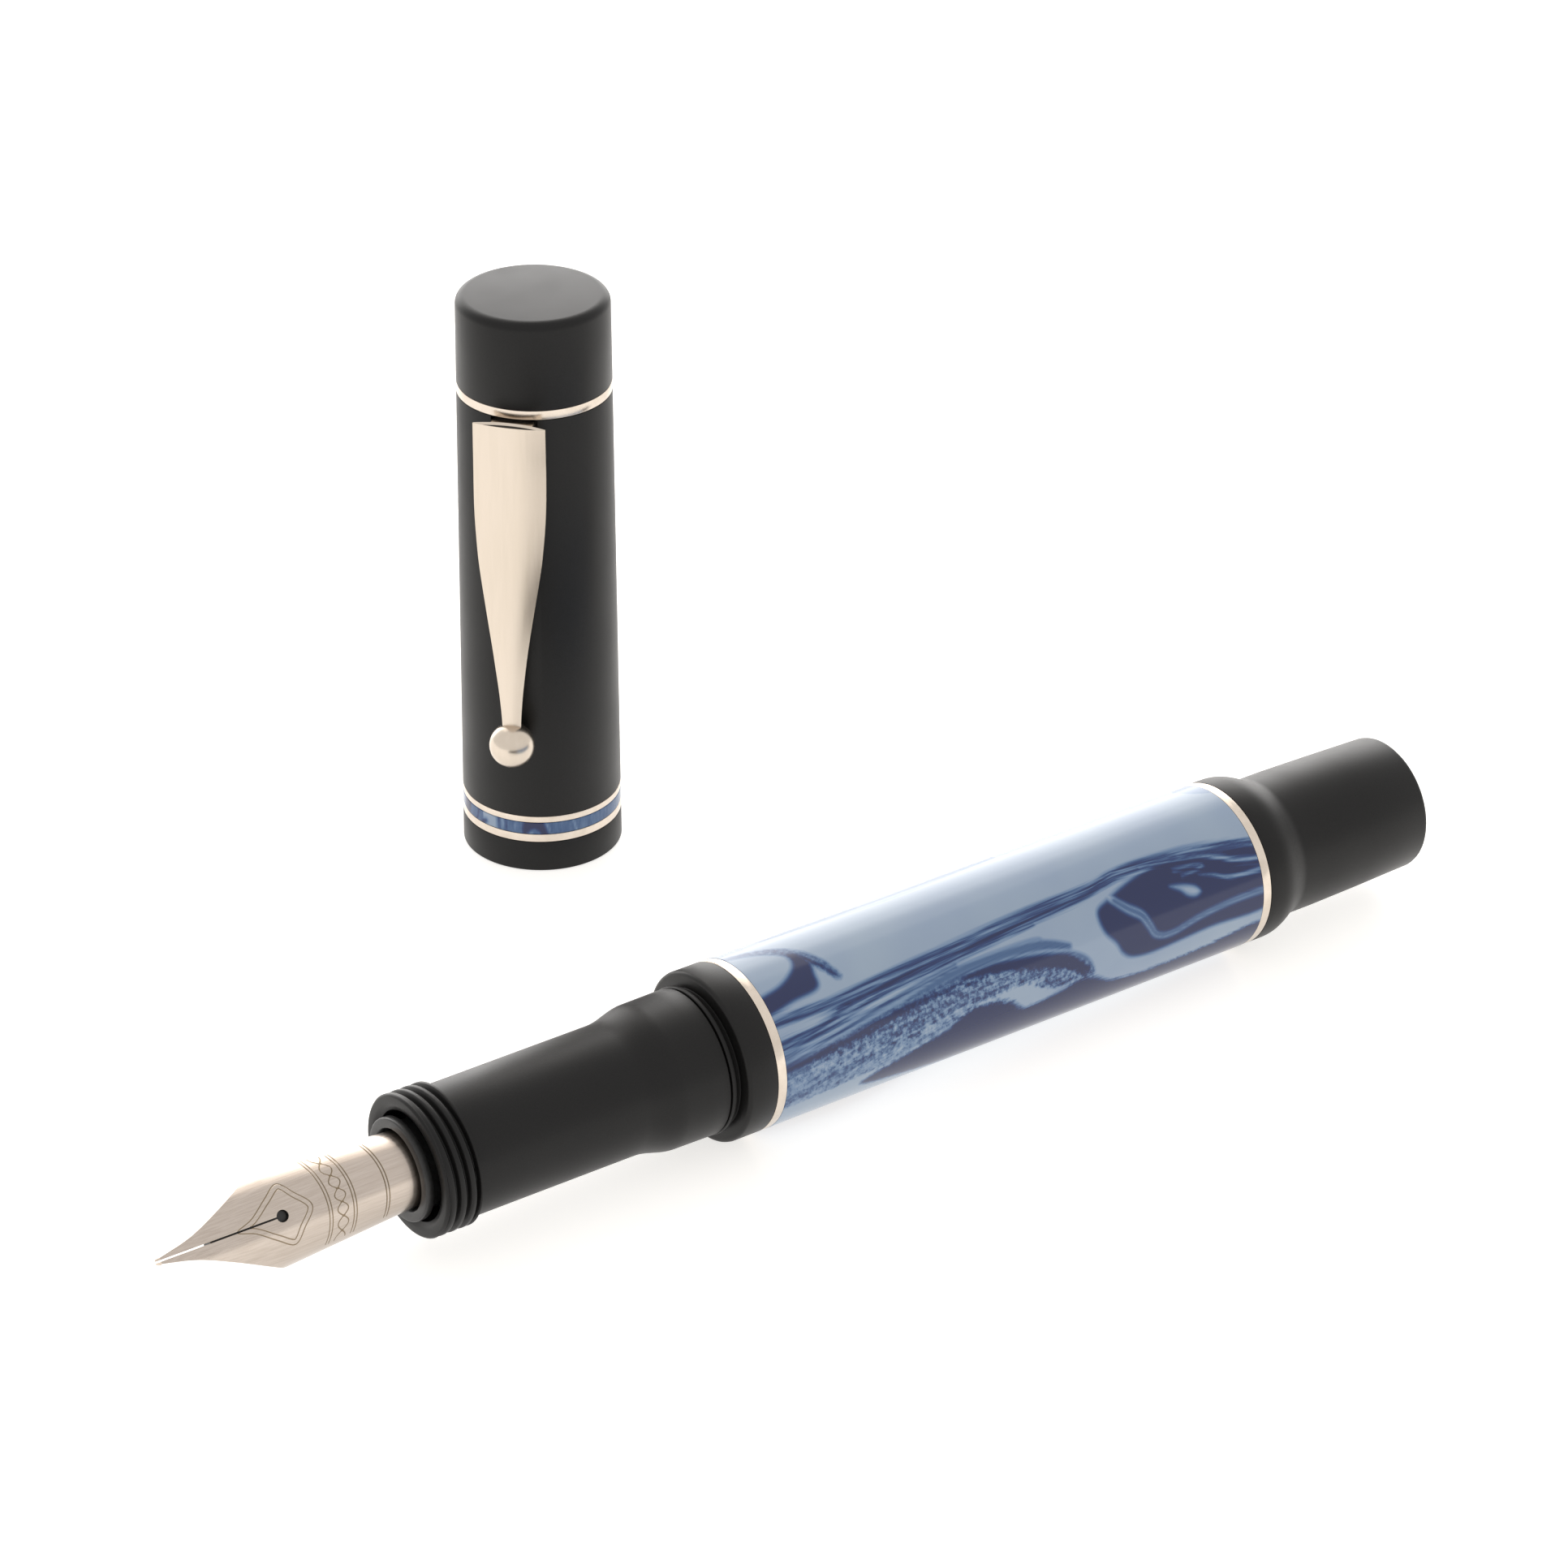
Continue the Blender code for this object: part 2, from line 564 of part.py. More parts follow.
def make_clip():
    """A tapering blade with a crowned front, a ball at its foot that rests near the
    cap, and a tang that enters the slot under the crown ring."""
    top, foot, steps = 46.9, 14.9, 16
    edge_thickness, front_points = 0.50, 5
    rings = []
    for step in range(steps + 1):
        z = top + (foot - top) * step / steps
        half, reach = clip_half_width(z), clip_edge_radius(z)
        crown = 0.30 + 0.42 * half / 3.42
        ring = [(reach - edge_thickness, -half, z), (reach, -half, z)]
        for point in range(1, front_points):
            across = -1 + 2 * point / front_points
            ring.append((reach + crown * (1 - across * across), half * across, z))
        ring += [(reach, half, z), (reach - edge_thickness, half, z)]
        rings.append(ring)
    blade = loft(rings)
    ball_r, ball_z = 2.12, 14.7
    ball = bmesh.new()
    bmesh.ops.create_uvsphere(ball, u_segments=16, v_segments=10, radius=ball_r,
                              matrix=Matrix.Translation((9.74, 0, ball_z)))
    tang = box_around((6.72, -2.0, 45.75), (8.3, 2.0, 46.80), 0.0)
    pieces = []
    pivot = Vector((CLIP_PIVOT_R, 0, CLIP_PIVOT_Z))
    turn = Matrix.Rotation(CLIP_TURN, 3, "Z")
    for name, shape in (("clip", blade), ("clip_ball_union", ball), ("clip_tang_union", tang)):
        bmesh.ops.translate(shape, vec=-pivot, verts=shape.verts)
        bmesh.ops.rotate(shape, verts=shape.verts, cent=(0, 0, 0), matrix=turn)
        pieces.append(finish(name, shape, Vector(CAP_AT) + turn @ pivot, "polished_trim"))
    clip, *joined = pieces
    for part in joined:
        part.hide_render = True
        part.display_type = "WIRE"
        union = clip.modifiers.new(part.name, "BOOLEAN")
        union.operation = "UNION"
        union.solver = "EXACT"
        union.object = part


def main():
    for old in list(bpy.data.objects):
        bpy.data.objects.remove(old, do_unlink=True)
    for name in FINISHES:
        make_material(name)

    make_barrel_tube()
    make_trim_ring("front_trim_ring", GAP)
    make_trim_ring("rear_trim_ring", BARREL_LENGTH + GAP)
    make_front_collar()
    make_tail()

    make_grip_section()
    make_section_seal()
    make_housing()
    make_feed()
    make_nib()
    make_tipping("nib_tip_left", 1)
    make_tipping("nib_tip_right", -1)

    make_converter()
    make_piston()
    make_converter_knob()

    make_cap_tube()
    make_cap_bands()
    make_crown()
    make_inner_cap()
    make_clip()


main()
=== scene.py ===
# %% [markdown]
# # Fountain pen with a marbled barrel
# The uncapped pen lies on its barrel and its cap stands beside it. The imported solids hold
# every size and every joint. This lesson makes the fine surface of each piece around them:
# nearly every part of a pen is turned on a lathe, so nearly every piece here is an outline
# that is spun around an axis. The nib, the feed and the clip are the exceptions.

# %% Load the frame
import json
import math

import bmesh
import bpy
import numpy as np
from mathutils import Matrix, Quaternion, Vector


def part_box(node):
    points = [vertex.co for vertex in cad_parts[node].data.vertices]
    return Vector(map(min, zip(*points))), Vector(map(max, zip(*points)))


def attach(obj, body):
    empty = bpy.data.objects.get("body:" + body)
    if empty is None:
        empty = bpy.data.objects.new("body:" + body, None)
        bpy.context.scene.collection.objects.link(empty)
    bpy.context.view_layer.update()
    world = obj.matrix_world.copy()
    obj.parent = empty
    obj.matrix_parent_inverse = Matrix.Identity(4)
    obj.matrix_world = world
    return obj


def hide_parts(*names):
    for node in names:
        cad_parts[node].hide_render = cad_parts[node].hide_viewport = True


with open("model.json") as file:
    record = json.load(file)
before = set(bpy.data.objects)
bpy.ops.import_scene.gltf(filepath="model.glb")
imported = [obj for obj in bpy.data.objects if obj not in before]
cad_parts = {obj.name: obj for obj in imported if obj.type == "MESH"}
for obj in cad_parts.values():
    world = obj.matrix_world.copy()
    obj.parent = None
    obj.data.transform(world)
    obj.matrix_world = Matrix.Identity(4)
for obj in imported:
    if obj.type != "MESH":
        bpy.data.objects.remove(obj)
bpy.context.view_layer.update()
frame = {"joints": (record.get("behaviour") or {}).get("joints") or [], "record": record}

MM = 0.001

# %% [markdown]
# ## Where things are
# All sizes below are in millimetres. Stations along the pen count from the front face of
# the front trim ring towards the tail, and heights on the cap count from its mouth. The two
# axes come from the boxes of the solids, so nothing has to be fitted by eye.

# %% Find the pen's axis and the cap's axis
RING_WIDTH = 0.96
tube_low, tube_high = (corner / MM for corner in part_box("barrel_tube"))
BARREL_R = (tube_high.z - tube_low.z) / 2
BARREL_END = tube_high.x - tube_low.x + RING_WIDTH
PEN_AT = Vector((tube_low.x - RING_WIDTH, (tube_low.y + tube_high.y) / 2,
                 (tube_low.z + tube_high.z) / 2))

lip_low, lip_high = (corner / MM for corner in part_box("cap_lip"))
CAP_R = (lip_high.x - lip_low.x) / 2
CAP_AT = Vector(((lip_low.x + lip_high.x) / 2, (lip_low.y + lip_high.y) / 2, 0.0))
CAP_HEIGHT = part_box("cap_crown")[1].z / MM
print("barrel radius", round(BARREL_R, 3), "pen axis", [round(c, 3) for c in PEN_AT])
print("cap radius", round(CAP_R, 3), "height", round(CAP_HEIGHT, 2), "axis",
      [round(c, 3) for c in CAP_AT])

# %% [markdown]
# ## Camera
# A long lens from far away suits a pen: it has long straight edges, and a short lens would
# make them converge. The camera stands left of the nib and looks down by 29 degrees. It is
# made first, because every later choice of detail depends on what it sees.

# %% Camera
CAMERA_AT = Vector((-221.4, -329.1, 242.5))
LOOKS_ALONG = Vector((0.509, 0.707, -0.4906))
ROLL = math.radians(0.453)
LENS, SENSOR = 115.8, 36.0


def show(name, data):
    """Puts a mesh, a camera or a lamp into the scene as an object of its own."""
    thing = bpy.data.objects.new(name, data)
    bpy.context.scene.collection.objects.link(thing)
    return thing


camera_data = bpy.data.cameras.new("camera")
camera_data.lens = LENS
camera_data.sensor_width = SENSOR
camera = show("camera", camera_data)
camera.location = CAMERA_AT * MM
camera.rotation_mode = "QUATERNION"
camera.rotation_quaternion = (LOOKS_ALONG.to_track_quat("-Z", "Y")
                              @ Quaternion((0, 0, 1), ROLL))
bpy.context.scene.camera = camera
print("camera", round(CAMERA_AT.length), "mm from the origin, lens", LENS, "mm")

# %% [markdown]
# ## Nodes and colours
# A few small helpers serve every material. One turns a colour as it is written on a screen,
# such as #93A3BB, into the linear light that the renderer adds up. One fills a node's
# sockets with values or links, and one adds a node and sets its properties.

# %% Helpers for materials
def srgb(code):
    values = [int(code[place:place + 2], 16) / 255 for place in (1, 3, 5)]
    linear = [v / 12.92 if v <= 0.04045 else ((v + 0.055) / 1.055) ** 2.4 for v in values]
    return (*linear, 1.0)


def fill(tree, node, sockets):
    """Each socket takes a value, or a link from another node's output."""
    for name, value in dict(sockets).items():
        if isinstance(value, bpy.types.NodeSocket):
            tree.links.new(value, node.inputs[name])
        else:
            node.inputs[name].default_value = value


def add(tree, kind, sockets=(), stops=(), **settings):
    """Adds one node. Its stops are the places and colours of a ramp."""
    node = tree.nodes.new(kind)
    for name, value in settings.items():
        setattr(node, name, value)
    fill(tree, node, sockets)
    for number, (place, colour) in enumerate(stops):
        elements = node.color_ramp.elements
        element = elements[number] if number < 2 else elements.new(place)
        element.position = place
        element.color = srgb(colour) if isinstance(colour, str) else colour
    return node


def new_material(name):
    """A material with its tree and its shader, and no other node."""
    material = bpy.data.materials.new(name)
    material.use_nodes = True
    tree = material.node_tree
    return tree, tree.nodes["Principled BSDF"], material

# %% [markdown]
# ## Marbled resin
# The barrel is turned from a poured rod: a pale blue-grey resin with navy resin folded into
# it while both were still thick, then polished to a high gloss. Folded layers give long
# streaks with crisp edges, and where the two half mixed they broke into a ragged, crystal
# edge. One noise can't do both, so each vertex carries how deep it lies in the navy resin,
# in millimetres, and the material only turns that depth into colour: pale outside, a band
# of mid blue where the layers bleed into each other, and navy inside. Two masks say where
# fine layers run along the flow and where the edge is ragged.

# %% Material: polished marbled resin
PALE, BLUE_GREY, MID_BLUE = "#8B9BAD", "#667F9D", "#3A587F"
DEEP_BLUE, NAVY = "#1B3566", "#0E1D4A"
LAYER_MM, FLAKE_MM, CLOUD_MM = 0.30, 0.55, 9.0

tree, shader, marbled_resin = new_material("polished_marbled_resin")
depth = add(tree, "ShaderNodeAttribute", attribute_name="navy_depth")
flow = add(tree, "ShaderNodeAttribute", attribute_name="flow")
layers_on = add(tree, "ShaderNodeAttribute", attribute_name="layers")
ragged_on = add(tree, "ShaderNodeAttribute", attribute_name="ragged")
place = add(tree, "ShaderNodeTexCoord")
layers = add(tree, "ShaderNodeTexNoise", {"Vector": flow.outputs["Vector"],
             "Scale": 1 / LAYER_MM, "Detail": 3.0, "Roughness": 0.55})
flakes = add(tree, "ShaderNodeTexNoise", {"Vector": place.outputs["Object"],
             "Scale": 1 / (FLAKE_MM * MM), "Detail": 5.0, "Roughness": 0.68})
clouds = add(tree, "ShaderNodeTexNoise", {"Vector": place.outputs["Object"],
             "Scale": 1 / (CLOUD_MM * MM), "Detail": 2.0, "Roughness": 0.5})
layer_shift = add(tree, "ShaderNodeMath", {0: layers.outputs["Fac"], 1: 0.5},
                  operation="SUBTRACT")
layer_part = add(tree, "ShaderNodeMath", {0: layer_shift.outputs[0],
                 1: layers_on.outputs["Fac"]}, operation="MULTIPLY")
flake_shift = add(tree, "ShaderNodeMath", {0: flakes.outputs["Fac"], 1: 0.5},
                  operation="SUBTRACT")
flake_part = add(tree, "ShaderNodeMath", {0: flake_shift.outputs[0],
                 1: ragged_on.outputs["Fac"]}, operation="MULTIPLY")
shifts = add(tree, "ShaderNodeMath", {0: layer_part.outputs[0], 1: flake_part.outputs[0]},
             operation="ADD")
total = add(tree, "ShaderNodeMath", {0: depth.outputs["Fac"], 1: shifts.outputs[0]},
            operation="ADD")
share = add(tree, "ShaderNodeMapRange", {"Value": total.outputs[0], "From Min": -1.0,
            "From Max": 1.0})
tones = add(tree, "ShaderNodeValToRGB", {"Fac": share.outputs[0]}, stops=(
    (0.28, PALE), (0.62, NAVY), (0.40, BLUE_GREY), (0.475, MID_BLUE), (0.53, DEEP_BLUE)))
cloud_tint = add(tree, "ShaderNodeValToRGB", {"Fac": clouds.outputs["Fac"]}, stops=(
    (0.35, "#F2F4FA"), (0.65, "#FFFFFF")))
colour = add(tree, "ShaderNodeMix", {0: 1.0, 6: tones.outputs[0],
             7: cloud_tint.outputs[0]}, data_type="RGBA", blend_type="MULTIPLY")
fill(tree, shader, {"Base Color": colour.outputs[2], "Roughness": 0.13, "IOR": 1.52})
print("marbled resin:", len(tree.nodes), "nodes")

# %% [markdown]
# ## Satin black resin
# The collar, the grip, the tail and the cap are turned from one black rod and then blasted
# with a fine grit, which leaves a soft satin instead of a mirror. The eye reads it from two
# things: a wide, dull highlight, and a very fine grain. A real grit mark is a few hundredths
# of a millimetre, and the grain here is drawn a little coarser, so that it still shows.

# %% Material: grit-blasted black resin
GRAIN_MM, HANDLING_MM = 0.11, 7.0

tree, shader, black_resin = new_material("grit_blasted_black_resin")
place = add(tree, "ShaderNodeTexCoord")
grain = add(tree, "ShaderNodeTexNoise", {"Vector": place.outputs["Object"],
            "Scale": 1 / (GRAIN_MM * MM), "Detail": 3.0, "Roughness": 0.6})
handling = add(tree, "ShaderNodeTexNoise", {"Vector": place.outputs["Object"],
               "Scale": 1 / (HANDLING_MM * MM), "Detail": 3.0, "Roughness": 0.55})
black = add(tree, "ShaderNodeValToRGB", {"Fac": grain.outputs["Fac"]}, stops=(
    (0.30, "#070707"), (0.72, "#111010")))
dullness = add(tree, "ShaderNodeMapRange", {"Value": handling.outputs["Fac"],
               "From Min": 0.3, "From Max": 0.7, "To Min": 0.37, "To Max": 0.43})
bumps = add(tree, "ShaderNodeBump", {"Height": grain.outputs["Fac"], "Strength": 0.5,
            "Distance": 0.012 * MM})
fill(tree, shader, {"Base Color": black.outputs[0], "Roughness": dullness.outputs[0],
     "Normal": bumps.outputs[0], "IOR": 1.5, "Specular IOR Level": 0.27})
print("black resin:", len(tree.nodes), "nodes")

# %% [markdown]
# ## Polished nickel, nib steel and the other metals
# All metals here share one build: a warm or cool base colour, long fine polishing lines that
# change the roughness a little, and a faint bump from the same lines. The lines follow the
# direction in which the piece was polished, so the noise is stretched along that axis.

# %% Materials: metals
def polished_metal(name, light, dark, roughness, spread, stretch, line_mm, relief):
    """Metal with polishing lines: the noise is coarse along the large axis of stretch."""
    tree, shader, material = new_material(name)
    place = add(tree, "ShaderNodeTexCoord")
    along = add(tree, "ShaderNodeMapping", {"Vector": place.outputs["Object"],
                "Scale": [1 / (line_mm * MM * share) for share in stretch]})
    lines = add(tree, "ShaderNodeTexNoise", {"Vector": along.outputs[0], "Scale": 1.0,
                "Detail": 3.0, "Roughness": 0.6})
    tint = add(tree, "ShaderNodeValToRGB", {"Fac": lines.outputs["Fac"]}, stops=(
        (0.30, dark), (0.62, light)))
    dullness = add(tree, "ShaderNodeMapRange", {"Value": lines.outputs["Fac"],
                   "From Min": 0.3, "From Max": 0.7, "To Min": roughness - spread,
                   "To Max": roughness + spread})
    bumps = add(tree, "ShaderNodeBump", {"Height": lines.outputs["Fac"], "Strength": relief,
                "Distance": 0.004 * MM})
    fill(tree, shader, {"Base Color": tint.outputs[0], "Roughness": dullness.outputs[0],
         "Normal": bumps.outputs[0], "Metallic": 1.0})
    print(name, "lines every", line_mm, "mm")
    return material


ring_nickel = polished_metal("polished_nickel_ring", "#DCD0C3", "#D2C6B8", 0.22, 0.03,
                             (6.0, 6.0, 6.0), 0.25, 0.15)
clip_nickel = polished_metal("polished_nickel_clip", "#D5C9BB", "#D0C4B5", 0.25, 0.02,
                             (2.0, 2.0, 30.0), 0.45, 0.06)
nib_steel = polished_metal("polished_nib_steel", "#C4B9AF", "#B7ABA0", 0.22, 0.04,
                           (30.0, 1.0, 1.0), 0.14, 0.10)
tipping_alloy = polished_metal("ground_tipping_alloy", "#DCCFC2", "#C0B1A3", 0.30, 0.05,
                               (1.0, 1.0, 1.0), 0.08, 0.25)
plated_brass = polished_metal("plated_converter_brass", "#DDDDDD", "#CFCFD0", 0.16, 0.05,
                              (40.0, 1.0, 1.0), 0.15, 0.20)

# %% [markdown]
# ## Engraving on the nib
# An engraved line is a shallow groove that keeps some dark polish in it. It could be cut as
# geometry, but a groove a tenth of a millimetre wide would need a very fine net. Here each
# vertex stores its distance in mm to the nearest line, which stays exact between vertices,
# and the material turns that distance into a darker tone and a bump with clean edges.

# %% Material: the nib's engraved lines
ENGRAVED_MM = 0.09

tree = nib_steel.node_tree
shader = tree.nodes["Principled BSDF"]
polished = shader.inputs["Base Color"].links[0].from_socket
polish_bumps = shader.inputs["Normal"].links[0].from_socket
ornament = add(tree, "ShaderNodeAttribute", attribute_name="ornament")
fields = add(tree, "ShaderNodeSeparateXYZ", {"Vector": ornament.outputs["Vector"]})
from_lines = add(tree, "ShaderNodeMath", {0: fields.outputs[0]}, operation="ABSOLUTE")
from_twist = add(tree, "ShaderNodeMath", {0: fields.outputs[1]}, operation="ABSOLUTE")
nearest = add(tree, "ShaderNodeMath", {0: from_lines.outputs[0], 1: from_twist.outputs[0]},
              operation="MINIMUM")
groove = add(tree, "ShaderNodeMapRange", {"Value": nearest.outputs[0],
             "From Min": ENGRAVED_MM * 0.3, "From Max": ENGRAVED_MM * 0.7,
             "To Min": 1.0, "To Max": 0.0}, interpolation_type="SMOOTHSTEP")
cut = add(tree, "ShaderNodeMath", {0: groove.outputs[0], 1: fields.outputs[2]},
          operation="MULTIPLY")
tone = add(tree, "ShaderNodeMix", {0: cut.outputs[0], 6: polished, 7: srgb("#83745F")},
           data_type="RGBA")
groove_bumps = add(tree, "ShaderNodeBump", {"Height": cut.outputs[0], "Normal": polish_bumps,
                   "Strength": 0.6, "Distance": 0.03 * MM}, invert=True)
fill(tree, shader, {"Base Color": tone.outputs[2], "Normal": groove_bumps.outputs[0]})
print("engraved lines are", ENGRAVED_MM, "mm wide")

# %% [markdown]
# ## Small plastics and rubber
# The feed and housing are moulded in black ABS, the liner and the converter's inside parts in
# a slightly duller grade, and the seals in silicone rubber. One function makes them, since
# they differ only in colour, gloss and the size of their moulding texture.

# %% Materials: moulded plastics and rubber
def moulded(name, light, dark, roughness, texture_mm, depth_mm):
    tree, shader, material = new_material(name)
    place = add(tree, "ShaderNodeTexCoord")
    texture = add(tree, "ShaderNodeTexNoise", {"Vector": place.outputs["Object"],
                  "Scale": 1 / (texture_mm * MM), "Detail": 3.0, "Roughness": 0.55})
    tint = add(tree, "ShaderNodeValToRGB", {"Fac": texture.outputs["Fac"]}, stops=(
        (0.3, dark), (0.7, light)))
    dullness = add(tree, "ShaderNodeMapRange", {"Value": texture.outputs["Fac"],
                   "From Min": 0.3, "From Max": 0.7, "To Min": roughness - 0.04,
                   "To Max": roughness + 0.04})
    bumps = add(tree, "ShaderNodeBump", {"Height": texture.outputs["Fac"],
                "Strength": 0.5, "Distance": depth_mm * MM})
    fill(tree, shader, {"Base Color": tint.outputs[0], "Roughness": dullness.outputs[0],
         "Normal": bumps.outputs[0], "IOR": 1.5})
    print(name, "texture", texture_mm, "mm")
    return material


moulded_abs = moulded("moulded_black_abs", "#1D1D1D", "#131313", 0.36, 0.30, 0.006)
liner_plastic = moulded("moulded_liner_plastic", "#242424", "#191919", 0.48, 0.40, 0.008)
seal_rubber = moulded("black_silicone_rubber", "#1B1B1B", "#121212", 0.62, 0.25, 0.010)

# %% [markdown]
# The converter's tube is clear polystyrene. Real clear plastic lets light through, and fine
# flow lines from moulding show only as slight changes in gloss.

# %% Material: clear polystyrene
tree, shader, clear_polystyrene = new_material("clear_moulded_polystyrene")
place = add(tree, "ShaderNodeTexCoord")
flow_lines = add(tree, "ShaderNodeTexNoise", {"Vector": place.outputs["Object"],
                 "Scale": 1 / (3.0 * MM), "Detail": 2.0, "Roughness": 0.5})
gloss = add(tree, "ShaderNodeMapRange", {"Value": flow_lines.outputs["Fac"],
            "From Min": 0.3, "From Max": 0.7, "To Min": 0.04, "To Max": 0.12})
water_tint = add(tree, "ShaderNodeValToRGB", {"Fac": flow_lines.outputs["Fac"]}, stops=(
    (0.3, "#E9F0F4"), (0.7, "#F7FAFC")))
fill(tree, shader, {"Base Color": water_tint.outputs[0], "Roughness": gloss.outputs[0],
     "IOR": 1.59, "Transmission Weight": 1.0})
print("clear polystyrene:", len(tree.nodes), "nodes")

# %% [markdown]
# ## Turning on the lathe
# An outline is a list of (station, radius) points, and a third number rounds that corner.
# The corners are rounded on the flat outline, where a vertex bevel is exact and cheap, and
# only then is the outline spun. A sharp corner on a real turned piece always has at least a
# hair of a round, and that hair is what catches the light. The outline closes on itself,
# unless both its ends lie on the axis.

# %% Helper: spin an outline
SIDES = 160
TURN_WELD = 0.0004     # mm within which two vertices become one


def turn(outline, axis="X", sides=SIDES):
    shape = bmesh.new()
    corners = []
    for station, radius, *rounding in outline:
        point = (station, 0.0, radius) if axis == "X" else (radius, 0.0, station)
        corners.append((shape.verts.new(point), rounding))
    verts = [vert for vert, _ in corners]
    for first, second in zip(verts, verts[1:]):
        shape.edges.new((first, second))
    if outline[0][1] > 0.0:
        shape.edges.new((verts[-1], verts[0]))
    for vert, rounding in corners:
        if rounding:
            bmesh.ops.bevel(shape, geom=[vert], offset=rounding[0], offset_type="OFFSET",
                            segments=3, profile=0.5, affect="VERTICES", material=-1)
    direction = (1, 0, 0) if axis == "X" else (0, 0, 1)
    bmesh.ops.spin(shape, geom=shape.verts[:] + shape.edges[:], cent=(0, 0, 0),
                   axis=direction, angle=math.tau, steps=sides, use_merge=True)
    bmesh.ops.remove_doubles(shape, verts=shape.verts, dist=TURN_WELD)
    return shape


def rotate(shape, matrix):
    bmesh.ops.rotate(shape, verts=shape.verts, cent=(0, 0, 0), matrix=matrix)


def ease(value, low=0.0, high=1.0):
    """0 at low, 1 at high, smooth between them."""
    share = min(max((value - low) / (high - low), 0.0), 1.0)
    return share * share * (3 - 2 * share)


def ogee(start, end, skew, steps=12):
    """Points of a smooth shoulder between two (station, radius) points, both left out."""
    points = []
    for step in range(1, steps):
        share = step / steps
        points.append((start[0] + (end[0] - start[0]) * share,
                       start[1] + (end[1] - start[1]) * ease(share ** skew)))
    return points


def rows(start, end, radius, pitch):
    """Points along a straight stretch, close enough together to cut a thread in."""
    count = max(2, round(abs(end - start) / pitch))
    return [(start + (end - start) * step / count, radius) for step in range(count + 1)]

# %% [markdown]
# ## Finishing a piece
# A shape is made in millimetres about its own axis, and then moved to its place, turned to
# metres, and given its finish. Its object stays at the origin with its place in its mesh.
# It rides on the body of the solid that it stands for.

# %% Helper: finish a piece
BODY_OF = {node: body for body, nodes in frame["record"]["behaviour"]["bodies"].items()
           for node in nodes}
PIECE_WELD = 0.0002


def finish(node, shape, at, material, sharp=38.0, fix_normals=True):
    """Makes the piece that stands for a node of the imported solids."""
    if fix_normals:
        bmesh.ops.remove_doubles(shape, verts=shape.verts, dist=PIECE_WELD)
        bmesh.ops.recalc_face_normals(shape, faces=shape.faces)
    bmesh.ops.translate(shape, vec=at, verts=shape.verts)
    bmesh.ops.scale(shape, vec=(MM, MM, MM), verts=shape.verts)
    name = node + "_fine"
    mesh = bpy.data.meshes.new(name)
    shape.to_mesh(mesh)
    shape.free()
    mesh.shade_smooth()
    mesh.set_sharp_from_angle(angle=math.radians(sharp))
    mesh.materials.append(material)
    piece = show(name, mesh)
    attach(piece, BODY_OF[node])
    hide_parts(node)
    triangles = sum(len(face.vertices) - 2 for face in mesh.polygons)
    print(f"{name}: {triangles} triangles on {BODY_OF[node]}")
    return piece

# %% [markdown]
# ## Threads
# A thread is cut by lowering the vertices of a finely divided stretch by a wave that climbs
# one pitch for each turn. All threads on this pen are right-handed.

# %% Helper: cut a thread
RUN_OUT_MM = 0.3


def cut_thread(shape, start, end, crest, cut, pitch, axis="X", sharpness=1.0):
    """Moves the stretch between two stations at the crest radius inwards by up to cut, or
    outwards where cut is negative, as on the inside of a nut."""
    for vert in shape.verts:
        along, across, up = vert.co
        if axis == "Z":
            along, across, up = vert.co.z, vert.co.x, vert.co.y
        radius = math.hypot(across, up)
        if start - 1e-4 < along < end + 1e-4 and abs(radius - crest) < 0.02:
            angle = math.atan2(up, across) / math.tau
            wave = 0.5 - 0.5 * math.cos(math.tau * ((along - start) / pitch - angle))
            fade = (ease(along, start, start + RUN_OUT_MM)
                    * ease(-along, -end, RUN_OUT_MM - end))
            factor = 1.0 - cut * wave ** sharpness * fade / radius
            if axis == "X":
                vert.co.y *= factor
                vert.co.z *= factor
            else:
                vert.co.x *= factor
                vert.co.y *= factor

# %% [markdown]
# ## Pouring the marble
# The flow of the two resins is drawn on the unrolled barrel, as a marbler would draw it: the
# first number runs along the barrel from its front face, and the second around it from the
# line that faces the camera, upwards. Closed shapes and strokes are poured one after another,
# and each changes the depth in the navy resin. A pour of "navy" raises the depth, "pale"
# clears it again, and "mid" and "haze" raise it only to the tone of thin or thinner blue.

# %% Helper: draw pours on an unrolled sheet
TONES = {"navy": 9.0, "mid": -0.06, "haze": -0.20}
REACH = 1.6
DEPTH_LIMITS = (-0.62, 0.40)     # past these, a spot is fully pale or fully navy


def smooth_line(points, closed, steps=7):
    """A smooth line through points: a Catmull-Rom curve."""
    points = np.array(points, float)
    if closed:
        padded = np.concatenate([points[-1:], points, points[:2]])
    else:
        padded = np.concatenate([points[:1], points, points[-1:]])
    line = []
    for before, start, end, after in zip(padded, padded[1:], padded[2:], padded[3:]):
        for step in range(steps):
            t = step / steps
            line.append(0.5 * (2 * start + (end - before) * t
                               + (2 * before - 5 * start + 4 * end - after) * t ** 2
                               + (3 * start - before - 3 * end + after) * t ** 3))
    if not closed:
        line.append(points[-1])
    return np.array(line)


